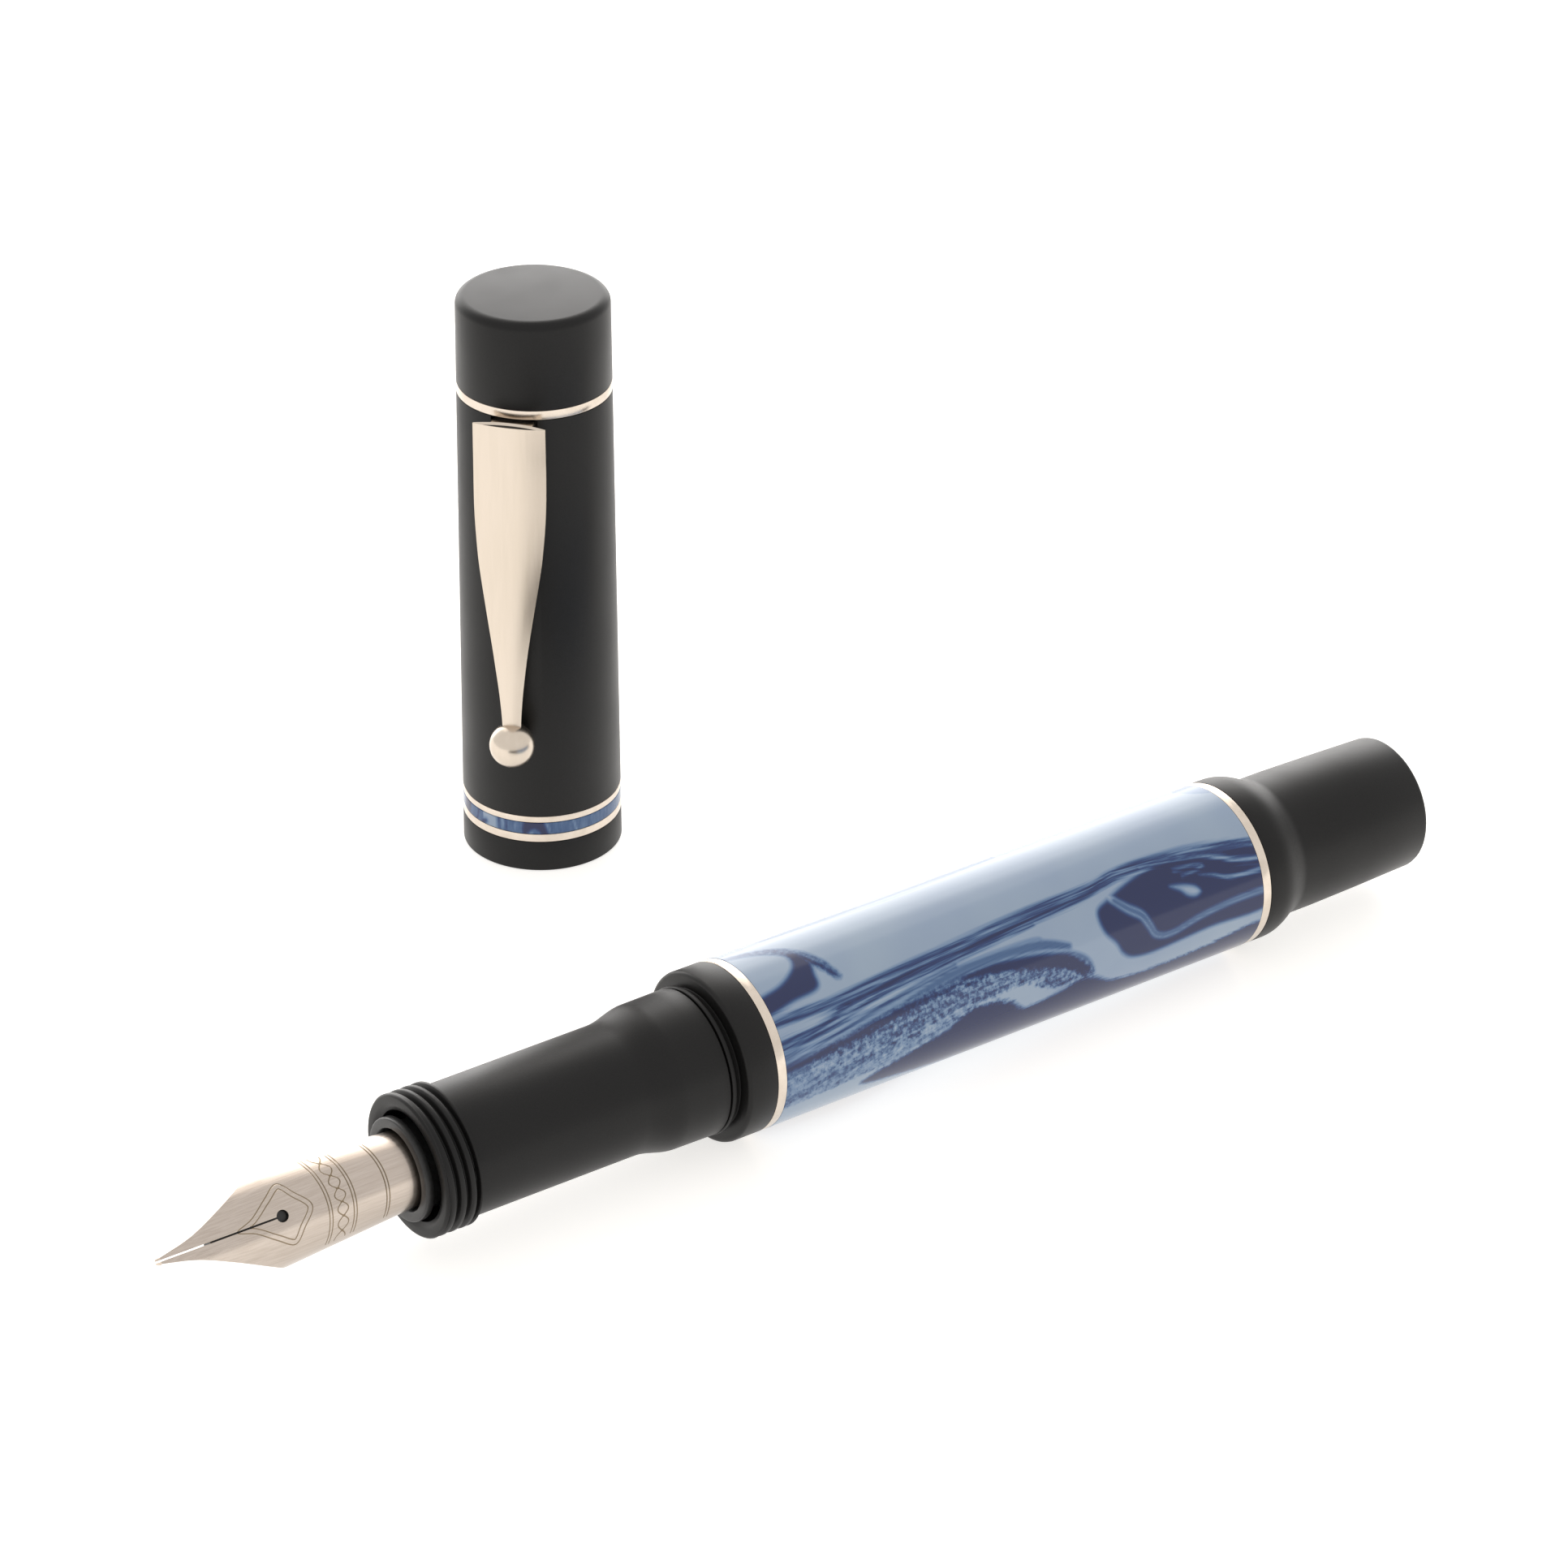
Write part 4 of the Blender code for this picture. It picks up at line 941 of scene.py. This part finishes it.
flat = np.array([vert.co[:2] for vert in nib.verts])
edge = np.array([nib_half_width(x) for x in flat[:, 0]])
bend = np.array([nib_bend(x) for x in flat[:, 0]])
middle = np.array([nib_crown(x) for x in flat[:, 0]]) - bend
height = np.array([vert.co.z for vert in nib.verts]) - middle
around = flat[:, 0] + 0.035 * flat[:, 1] ** 2

lines = ORNAMENT_GAP / 2 - np.abs(signed_distance(flat, LOZENGE) - ORNAMENT_GAP / 2)
for x in CROSS_LINES:
    lines = np.maximum(lines, CROSS_GAP / 2 - np.abs(around - x))

turns = math.tau * flat[:, 1] / TWIST_LONG
steepness = np.hypot(1.0, math.tau * TWIST_WIDE / TWIST_LONG * np.sin(turns))
strands = [(around - TWIST_AT + side * TWIST_WIDE * np.cos(turns)) / steepness
           for side in (-1, 1)]
twist = np.sign(strands[0] * strands[1]) * np.abs(strands).min(axis=0)

on_top = np.hypot(flat[:, 1], height) > bend - 0.4 * NIB_SHEET
within = on_top & (np.abs(flat[:, 1]) < edge - MARGIN_MM)
rotate(nib, NIB_TILT)
nib_piece = finish("nib", nib, PEN_AT, nib_steel, sharp=50.0, fix_normals=False)
mark(nib_piece, "ornament", np.column_stack([lines, twist, within]))
print("vertices in the engraved field:", int(within.sum()))

# %% [markdown]
# ## Tipping
# A pellet of hard alloy is welded to the point, ground round, and slit together with the
# nib, so each tine carries one half. Each half is a stretched ball that is cut flat where
# the slit passes and where the sheet begins.

# %% Two halves of the tipping
NIB_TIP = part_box("nib_tip_left")[0].x / MM - PEN_AT.x
PELLET_R, STRETCH = 0.36, 1.35

for node, side in (("nib_tip_left", 1), ("nib_tip_right", -1)):
    half = bmesh.new()
    bmesh.ops.create_uvsphere(half, u_segments=40, v_segments=24, radius=PELLET_R,
                              matrix=Matrix.Diagonal((STRETCH, 1.0, 0.95, 1.0)))
    bmesh.ops.translate(half, vec=(NIB_TIP + PELLET_R * STRETCH, 0,
                                   nib_crown(NIB_FRONT) - 0.17), verts=half.verts)
    for point, away in (((0, side * 0.08, 0), (0, side, 0)),
                        ((NIB_FRONT - 0.03, 0, 0), (-1, 0, 0))):
        cut = bmesh.ops.bisect_plane(half, geom=half.verts[:] + half.edges[:] + half.faces[:],
                                     plane_co=point, plane_no=away, clear_inner=True)
        rim = [edge for edge in cut["geom_cut"] if isinstance(edge, bmesh.types.BMEdge)]
        bmesh.ops.holes_fill(half, edges=rim)
    rotate(half, NIB_TILT)
    finish(node, half, PEN_AT, tipping_alloy, sharp=60.0)

# %% [markdown]
# ## Feed
# The feed lies under the nib and meters the ink: a smooth nose, then a comb of thin fins
# that hold the surplus, then a round shank in the housing. It is a skin bridged over a row
# of rings, which is how a moulded part with one changing section is quickest to make.

# %% Feed
def loft(rings):
    """A closed skin over rings of points, with flat ends."""
    shape = bmesh.new()
    loops = []
    for ring in rings:
        verts = [shape.verts.new(point) for point in ring]
        edges = [shape.edges.new(pair) for pair in zip(verts, verts[1:] + verts[:1])]
        loops.append((verts, edges))
    for (_, edges), (_, next_edges) in zip(loops, loops[1:]):
        bmesh.ops.bridge_loops(shape, edges=edges + next_edges)
    shape.faces.new(loops[0][0])
    shape.faces.new(loops[-1][0])
    return shape


def feed_ring(x, side_r, top, bottom, points=48):
    middle = min((top + bottom) / 2 + 0.4, top - 0.3) if top < side_r - 0.2 else 0.0
    ring = []
    for point in range(points):
        angle = math.tau * point / points
        reach = top - middle if math.sin(angle) > 0 else middle - bottom
        ring.append((x, side_r * math.cos(angle), middle + reach * math.sin(angle)))
    return ring


FEED_R, FEED_CORE_R, UNDER_NIB = 2.95, 2.55, 0.39
FIN_FROM, FIN_PITCH, FIN_THICK, FINS = -45.8, 0.70, 0.36, 14
NOSE = smooth_line([(-52.4, 0.55, 0.9), (-51.2, 1.35, -0.1), (-49.6, 2.05, -1.2),
                    (-47.6, 2.55, -2.1), (-46.2, 2.70, -2.45)], closed=False, steps=5)

rings = [feed_ring(x, side_r, nib_crown(x) - UNDER_NIB, low) for x, side_r, low in NOSE]
for fin in range(FINS):
    fin_front = FIN_FROM + fin * FIN_PITCH
    for x, radius in ((fin_front, FEED_R), (fin_front + FIN_THICK, FEED_R),
                      (fin_front + FIN_THICK + 0.02, FEED_CORE_R),
                      (fin_front + FIN_PITCH - 0.02, FEED_CORE_R)):
        rings.append(feed_ring(x, radius, min(nib_crown(x) - UNDER_NIB, FEED_R), -radius))
shank = FIN_FROM + FINS * FIN_PITCH
rings += [feed_ring(shank, FEED_R, FEED_R, -FEED_R), feed_ring(-20.3, FEED_R, FEED_R, -FEED_R)]
feed = loft(rings)
rotate(feed, NIB_TILT)
finish("feed", feed, PEN_AT, moulded_abs, sharp=35.0)
print("feed with", FINS, "fins of", FIN_THICK, "mm")

# %% [markdown]
# ## Converter
# Inside the barrel sits the piston filler: a clear tube with a plated sleeve over its rear
# half, a seal on a rod with two flats, a bush whose matching flats stop the rod from turning,
# and a ribbed knob. It only shows when the pen is taken apart.

# %% Converter tube, sleeve and bush
TUBE_R, INK_R, ROD_R, ROD_FLAT, SLEEVE_END = 3.60, 2.80, 1.25, 0.90, 44.0


def flatten_key(shape, largest, half):
    """Presses two flats, above and below, on what is no larger than a radius."""
    for vert in shape.verts:
        if math.hypot(vert.co.y, vert.co.z) < largest:
            vert.co.z = min(max(vert.co.z, -half), half)


outline = [(-17.8, 1.98, 0.1), (-17.8, TUBE_R, 0.25), (20.0, TUBE_R, 0.1), (20.0, INK_R, 0.1),
           (-11.8, INK_R, 0.2), (-11.8, 1.98, 0.1)]
finish("converter_tube", turn(outline, sides=96), PEN_AT, clear_polystyrene)

outline = [(14.0, 3.67, 0.05), (14.0, 3.95, 0.08), (16.0, 3.95), (16.25, 3.86), (16.5, 3.86),
           (16.75, 3.95), (42.6, 3.95), (42.8, 3.88), (43.0, 3.88), (43.2, 3.95),
           (SLEEVE_END, 3.95, 0.15), (SLEEVE_END, 3.05, 0.1), (43.2, 3.05, 0.05),
           (43.2, 3.67, 0.1)]
finish("converter_sleeve", turn(outline, sides=96), PEN_AT, plated_brass)

outline = [(20.1, ROD_R + 0.09), (20.1, TUBE_R, 0.2), (24.2, TUBE_R, 0.2),
           (24.2, ROD_R + 0.09)]
shape = turn(outline, sides=96)
flatten_key(shape, 2.0, ROD_FLAT + 0.08)
finish("converter_guide_bush", shape, PEN_AT, liner_plastic)

# %% [markdown]
# ## Piston and knob
# The seal has two lips that wipe the tube. The rod is round with two flats pressed on it, so
# it can only slide, and the knob turns on its thread. The knob's ribs are one wave around it,
# cut in the same way as a thread but without its climb.

# %% Piston seal and rod
outline = [(-11.3, 0.0), (-11.3, 2.2, 0.1), (-10.95, 2.72, 0.1), (-10.4, 2.72, 0.08),
           (-10.2, 2.45, 0.1), (-9.4, 2.45, 0.1), (-9.2, 2.72, 0.08), (-8.3, 2.72, 0.15),
           (-8.3, 1.32, 0.05), (-10.0, 1.32), (-10.0, 0.0)]
finish("piston_seal", turn(outline, sides=96), PEN_AT, seal_rubber)

outline = [(-9.95, 0.0), (-9.95, ROD_R, 0.1), (29.6, ROD_R), (30.0, 0.95), (30.0, 0.0)]
shape = turn(outline, sides=96)
flatten_key(shape, 2.0, ROD_FLAT)
finish("piston_rod", shape, PEN_AT, liner_plastic)

# %% Converter knob with ribs
KNOB_R, RIBS, RIB_CUT = 3.70, 36, 0.14
KNOB_GRIP = (46.0, 53.6)

outline = [(53.5, 0.0), (53.5, 1.36, 0.1), (24.6, 1.36, 0.1), (24.6, 3.55, 0.15),
           (26.0, 3.55, 0.15), (26.0, 2.95, 0.1), (SLEEVE_END + 0.3, 2.95, 0.05),
           (SLEEVE_END + 0.3, KNOB_R, 0.25)]
outline += rows(*KNOB_GRIP, KNOB_R, 0.3)
outline += [(55.0, KNOB_R, 0.45), (55.0, 0.0)]
shape = turn(outline, sides=RIBS * 8)
for vert in shape.verts:
    radius = math.hypot(vert.co.y, vert.co.z)
    if abs(radius - KNOB_R) < 0.01:
        fade = ease(vert.co.x, KNOB_GRIP[0], KNOB_GRIP[0] + 0.6)
        fade *= ease(-vert.co.x, -KNOB_GRIP[1], 0.6 - KNOB_GRIP[1])
        wave = 0.5 - 0.5 * math.cos(RIBS * math.atan2(vert.co.z, vert.co.y))
        factor = 1.0 - RIB_CUT * wave * fade / radius
        vert.co.y *= factor
        vert.co.z *= factor
finish("converter_knob", shape, PEN_AT, liner_plastic)

# %% [markdown]
# ## Cap rings, lip and marbled band
# The cap is a slightly tapering tube, so each ring's outline follows one radius rule. The
# narrow marbled band is a slice of the same poured rod, let in between two polished rings.

# %% Cap lip and rings
TAPER = 0.00867
BAND_SEAMS = (3.14, 3.99, 5.23, 5.90)
CROWN_SEAMS = (47.03, 47.94)
SLEEVE_R, CAP_BORE_R, CROWN_TENON_R, LINER_BORE_R = 7.06, 6.80, 6.50, 5.85
TENON_PLAY = 0.08


def cap_radius(height):
    return CAP_R - TAPER * height


def cap_band(node, low, high, inner, material, net=None):
    """A ring of the cap between two heights, flush with its neighbours."""
    outline = [(low, inner), (low, cap_radius(low), 0.05)]
    if net:
        outline += [(height, cap_radius(height)) for height, _ in
                    rows(low + 0.08, high - 0.08, 0.0, net)]
    outline += [(high, cap_radius(high), 0.05), (high, inner)]
    return finish(node, turn(outline, "Z", sides=284 if net else SIDES), CAP_AT, material)


lip_top, ring_top, band_top, tube_low = BAND_SEAMS
outline = [(0.0, CAP_BORE_R, 0.12), (0.0, cap_radius(0), 0.16),
           (lip_top - SEAM, cap_radius(lip_top), 0.04), (lip_top - SEAM, SLEEVE_R),
           (8.4, SLEEVE_R), (8.4, CAP_BORE_R, 0.1)]
finish("cap_lip", turn(outline, "Z"), CAP_AT, black_resin)
cap_band("cap_lower_ring", lip_top, ring_top - SEAM, SLEEVE_R + SEAM, ring_nickel)
cap_band("cap_upper_ring", band_top, tube_low - SEAM, SLEEVE_R + SEAM, ring_nickel)
cap_band("crown_ring", CROWN_SEAMS[0], CROWN_SEAMS[1] - SEAM, CROWN_TENON_R + TENON_PLAY, ring_nickel)
marbled_band = cap_band("cap_marbled_band", ring_top, band_top - SEAM, SLEEVE_R + SEAM,
                        marbled_resin, net=NET_MM)

# %% [markdown]
# ## Marble on the band
# The band is so narrow that only a few strokes cross it. They are poured as on the barrel,
# with the first number around the band from the side that faces the camera, and the second
# its height.

# %% The marbled band's pours
BAND_FACING = math.radians(-122.6)
BAND_SHAPES = [
    ("mid", [(-23, 3.5), (-8, 3.5), (-8, 5.8), (-23, 5.8)], None),
    ("navy", [(-9.9, 3.7), (-8.8, 3.7), (-8.4, 5.6), (-9.6, 5.6)], None),
    ("navy", [(-7.6, 3.6), (-7.2, 4.4), (-7.0, 5.5)], (0.4, 0.3, 0.25)),
    ("navy", [(-6.4, 4.1), (-6.0, 4.35)], (0.45, 0.2)),
    ("navy", [(-4.3, 3.6), (-4.4, 5.5)], (0.14, 0.2)),
    ("navy", [(-3.5, 3.8), (-3.7, 5.5)], (0.12, 0.2)),
    ("mid", [(-3.9, 3.6), (-3.1, 3.6), (-1.6, 3.6), (-1.9, 5.6), (-3.2, 5.6)], None),
    ("pale", [(-2.9, 3.7), (-2.6, 5.6)], (0.35, 0.3)),
    ("navy", [(-1.8, 3.6), (0.7, 3.6), (0.1, 5.6), (-1.7, 5.6)], None),
    ("pale", [(-1.3, 3.9), (-0.8, 4.25), (-0.3, 3.9)], (0.45, 0.5, 0.3)),
    ("mid", [(0.1, 5.6), (0.7, 3.5), (13, 3.5), (13, 5.7)], None),
    ("haze", [(0.7, 5.5), (1.1, 3.6), (1.9, 3.6), (1.4, 5.5)], None),
    ("pale", [(0.3, 5.4), (0.8, 3.8)], (0.4, 0.3)),
    ("pale", [(2.9, 5.5), (3.4, 3.7)], (0.5, 0.35)),
    ("mid", [(13, 3.5), (23, 3.5), (23, 5.7), (13, 5.7)], None),
    ("navy", [(16, 3.5), (19, 3.5), (18, 5.7), (15.4, 5.7)], None),
]
spots = vertices_in_mm(marbled_band, CAP_AT)
turned = np.angle(np.exp(1j * (np.arctan2(spots[:, 1], spots[:, 0]) - BAND_FACING)))
unrolled = np.column_stack([turned * CAP_R, spots[:, 2]])
marble(marbled_band, unrolled, BAND_SHAPES, np.full(len(unrolled), 0.25),
       np.full(len(unrolled), 0.06), (unrolled[:, 1] * 0.12, unrolled[:, 0] * 0.55))

# %% [markdown]
# ## Cap tube
# The tube is open below and holds the cap's thread inside. Near its top a slot is cut for the
# clip's tang, just below the crown ring. Slots and unions are the one job here for a Boolean,
# which works on two closed shapes and keeps the rest of the net as it is.

# %% Helper: cut or join closed shapes
def combine(shape, tool, operation):
    working = []
    for part in (shape, tool):
        bmesh.ops.recalc_face_normals(part, faces=part.faces)
        mesh = bpy.data.meshes.new("working_shape")
        part.to_mesh(mesh)
        part.free()
        working.append(show("working_shape", mesh))
    modifier = working[0].modifiers.new("combine", "BOOLEAN")
    modifier.operation = operation
    modifier.solver = "EXACT"
    modifier.object = working[1]
    result = bmesh.new()
    result.from_object(working[0], bpy.context.evaluated_depsgraph_get())
    for holder in working:
        mesh = holder.data
        bpy.data.objects.remove(holder)
        bpy.data.meshes.remove(mesh)
    return result


def block(low, high, rounding):
    """A box between two corners, with rounded edges."""
    shape = bmesh.new()
    low, high = Vector(low), Vector(high)
    bmesh.ops.create_cube(shape, size=1.0, matrix=Matrix.Translation((low + high) / 2)
                          @ Matrix.Diagonal((*(high - low), 1.0)))
    bmesh.ops.bevel(shape, geom=shape.edges[:], offset=rounding, offset_type="OFFSET",
                    segments=3, profile=0.5, affect="EDGES", material=-1)
    return shape

# %% Cap tube with its slot and thread
flex = next(joint for joint in frame["joints"] if joint["name"] == "clip_flex")
CLIP_TURN = math.atan2(flex["axis"][0], -flex["axis"][1])
TO_CLIP = Matrix.Rotation(CLIP_TURN, 3, "Z")
CAP_THREAD, CAP_THREAD_R = (25.0, 31.0), 6.56

tube_high_edge = CROWN_SEAMS[0] - SEAM
outline = [(tube_low, SLEEVE_R + SEAM), (tube_low, cap_radius(tube_low), 0.04),
           (tube_high_edge, cap_radius(tube_high_edge), 0.04),
           (tube_high_edge, CROWN_TENON_R + TENON_PLAY), (41.9, CROWN_TENON_R + TENON_PLAY),
           (41.9, LINER_BORE_R), (31.2, LINER_BORE_R), (31.05, CAP_THREAD_R)]
outline += rows(CAP_THREAD[1], CAP_THREAD[0], CAP_THREAD_R, 0.08)
outline += [(24.6, CAP_BORE_R), (8.45, CAP_BORE_R), (8.45, SLEEVE_R + SEAM)]
shape = turn(outline, "Z")
cut_thread(shape, *CAP_THREAD, CAP_THREAD_R, -0.24, GRIP_PITCH, axis="Z")
slot_tool = block((6.2, -2.2, 45.55), (8.0, 2.2, 48.0), 0.12)
rotate(slot_tool, TO_CLIP)
cap_tube = combine(shape, slot_tool, "DIFFERENCE")
finish("cap_tube", cap_tube, CAP_AT, black_resin)
print("clip stands at", round(math.degrees(CLIP_TURN), 1), "degrees around the cap")

# %% [markdown]
# ## Crown and inner cap
# The crown plugs the tube's top with a tenon, and its upper edge is a quarter circle, which
# needs more points than a bevelled corner would give. The inner cap is a plain moulded cup
# that seals the nib when the pen is closed.

# %% Crown and inner cap
CROWN_EDGE = 0.9

outline = [(55.6, 0.0), (55.6, LINER_BORE_R), (42.0, LINER_BORE_R, 0.1),
           (42.0, CROWN_TENON_R, 0.1), (CROWN_SEAMS[1], CROWN_TENON_R),
           (CROWN_SEAMS[1], cap_radius(CROWN_SEAMS[1]), 0.04)]
top_r = cap_radius(CAP_HEIGHT)
for step in range(9):
    angle = math.radians(90 * step / 8)
    outline.append((CAP_HEIGHT - CROWN_EDGE + CROWN_EDGE * math.sin(angle),
                    top_r - CROWN_EDGE + CROWN_EDGE * math.cos(angle)))
outline.append((CAP_HEIGHT, 0.0))
finish("cap_crown", turn(outline, "Z"), CAP_AT, black_resin)

outline = [(54.8, 0.0), (54.8, 5.20, 0.3), (31.5, 5.20, 0.15), (31.5, 5.78, 0.15),
           (55.5, 5.78, 0.3), (55.5, 0.0)]
finish("inner_cap", turn(outline, "Z", sides=96), CAP_AT, liner_plastic)

# %% [markdown]
# ## Pocket clip
# The clip is folded from nickel-plated sheet to a flat lens in section, pressed shut along
# its sides, and shown at the top as a shallow pocket whose floor is painted black: painted
# shade for the dark hollow inside the fold. It stays wide, then narrows in a long
# hollow curve to a neck, and ends in a solid ball. Its section is lofted down the cap, and
# the ball and the tang that enters the slot are joined to it.

# %% Pocket clip
CLIP_TOP, CLIP_FOOT, CLIP_STEPS = 46.9, 14.9, 84
CLIP_WIDTHS = np.array([(14.9, 0.88), (17.2, 0.92), (19.8, 1.12), (22.4, 1.42), (25.0, 1.76),
                        (28.8, 2.34), (32.7, 2.93), (35.2, 3.19), (38.0, 3.38), (41.0, 3.44),
                        (46.9, 3.42)])
WIDTH_LINE = smooth_line(CLIP_WIDTHS, closed=False)
BALL_R, BALL_AT = 2.12, (9.74, 0.0, 14.7)
LENS_POINTS = 18
CLIP_RIM = 0.07          # half of the pressed edge's thickness
# rim and depth of the pocket at the clip's top, whose black floor is painted shade
SHADED_POCKET_RIM, SHADED_POCKET_DEPTH = 0.13, 0.22


def clip_reach(z):
    """Distance of the clip's side edges from the cap's axis."""
    return 8.50 + 1.15 * ease(-z, -44.0, -22.0)


def clip_section(z):
    half = float(np.interp(z, WIDTH_LINE[:, 0], WIDTH_LINE[:, 1]))
    reach = clip_reach(z)
    crown = 0.22 + 0.12 * half / 3.42
    hollow = 0.20 + 0.40 * half / 3.42
    ring = []
    for sign, height in ((1, crown), (-1, hollow)):
        for point in range(LENS_POINTS):
            t = -math.cos(math.pi * (point + 0.5) / LENS_POINTS) * sign
            ring.append((reach + sign * (CLIP_RIM + height * (1 - t * t)), half * t, z))
    return ring


rings = [clip_section(CLIP_TOP + (CLIP_FOOT - CLIP_TOP) * step / CLIP_STEPS)
         for step in range(CLIP_STEPS + 1)]
blade = loft(rings)
bmesh.ops.recalc_face_normals(blade, faces=blade.faces)
ball = bmesh.new()
bmesh.ops.create_uvsphere(ball, u_segments=64, v_segments=40, radius=BALL_R,
                          matrix=Matrix.Translation(BALL_AT))
clip = combine(blade, ball, "UNION")
clip = combine(clip, block((6.72, -2.0, 45.75), (8.45, 2.0, 46.80), 0.1), "UNION")
end_face = max(clip.faces, key=lambda face: face.calc_center_median().z + face.calc_area())
bmesh.ops.inset_region(clip, faces=[end_face], thickness=SHADED_POCKET_RIM, use_even_offset=True)
bmesh.ops.translate(clip, vec=(0, 0, -SHADED_POCKET_DEPTH), verts=end_face.verts)
# painted shade: the pocket floor takes the black resin to stand for the shade inside the hollow clip
end_face.material_index = 1
rotate(clip, TO_CLIP)
clip_piece = finish("clip", clip, CAP_AT, clip_nickel, sharp=32.0)
# the second material is the black of the pocket's painted shade
clip_piece.data.materials.append(black_resin)
print("clip", round(CLIP_TOP - CLIP_FOOT + BALL_R, 1), "mm long")

# %% [markdown]
# ## Table, light and background
# The set is an opal acrylic table that is lit from below, so the pieces stand on white with
# hardly a shadow, and their undersides are lit too. Black satin pieces need that: from above
# alone they would melt into one dark shape. A bright low
# backdrop behind them gives the black parts their pale rims. The background is plain white.
# The light is painted on the world by direction, so it has no edges that would show as hard
# shapes in the polished metal.

# %% Table
TABLE_GLOW, TABLE_SIZE, TABLE_AT = 0.72, 1.6, -0.00006

floor_shape = bmesh.new()
bmesh.ops.create_grid(floor_shape, x_segments=8, y_segments=8, size=TABLE_SIZE)
bmesh.ops.translate(floor_shape, vec=(0, 0, TABLE_AT), verts=floor_shape.verts)
floor_mesh = bpy.data.meshes.new("table_top")
floor_shape.to_mesh(floor_mesh)
floor_shape.free()
tree, shader, opal_acrylic = new_material("opal_acrylic_table")
place = add(tree, "ShaderNodeTexCoord")
unevenness = add(tree, "ShaderNodeTexNoise", {"Vector": place.outputs["Object"],
                 "Scale": 1 / 0.05, "Detail": 2.0})
white = add(tree, "ShaderNodeValToRGB", {"Fac": unevenness.outputs["Fac"]}, stops=(
    (0.3, "#B9B8B6"), (0.7, "#C4C3C1")))
fill(tree, shader, {"Base Color": white.outputs[0], "Roughness": 0.35,
     "Emission Color": srgb("#FFFDFA"), "Emission Strength": TABLE_GLOW})
floor_mesh.materials.append(opal_acrylic)
table_top = show("table_top", floor_mesh)
print("table", 2 * TABLE_SIZE, "m wide, glow", TABLE_GLOW)

# %% Light painted on the world
AMBIENT, BACKDROP = 0.98, 3.0
TO_BACK = Vector((0.45, 0.89, 0.05)).normalized()

world = bpy.data.worlds.new("studio")
world.use_nodes = True
bpy.context.scene.world = world
tree = world.node_tree
background = tree.nodes["Background"]
place = add(tree, "ShaderNodeTexCoord")
behind = add(tree, "ShaderNodeVectorMath", {0: place.outputs["Generated"], 1: TO_BACK},
             operation="DOT_PRODUCT")
behind_share = add(tree, "ShaderNodeMapRange", {"Value": behind.outputs["Value"],
                   "From Min": 0.62, "From Max": 0.94, "To Min": AMBIENT,
                   "To Max": AMBIENT + BACKDROP}, interpolation_type="SMOOTHSTEP")
path = add(tree, "ShaderNodeLightPath")
seen = add(tree, "ShaderNodeMix", {0: path.outputs["Is Camera Ray"],
           2: behind_share.outputs[0], 3: 1.0})
tree.links.new(seen.outputs[0], background.inputs["Strength"])
background.inputs["Color"].default_value = srgb("#FFFDFB")

bpy.context.scene.view_settings.view_transform = "Standard"
print("light: ambient", AMBIENT, "backdrop", BACKDROP)

# %% [markdown]
# ## Overhead light
# One large soft lamp above and behind gives the cap's top and the barrel's shoulder a gentle
# highlight. It is weak, because the table and the backdrop do most of the work.

# %% Overhead soft light
lamp_data = bpy.data.lights.new("overhead_softbox", "AREA")
lamp_data.shape = "RECTANGLE"
lamp_data.size, lamp_data.size_y = 0.9, 0.5
lamp_data.energy = 1.0
lamp_data.color = srgb("#FFF6EC")[:3]
lamp = show("overhead_softbox", lamp_data)
lamp.location = (0.25, 0.55, 0.75)
lamp.rotation_mode = "QUATERNION"
lamp.rotation_quaternion = (-lamp.location).to_track_quat("-Z", "Y")
print("overhead lamp", round(lamp.location.length, 2), "m away")

# %% Update the scene
bpy.context.view_layer.update()
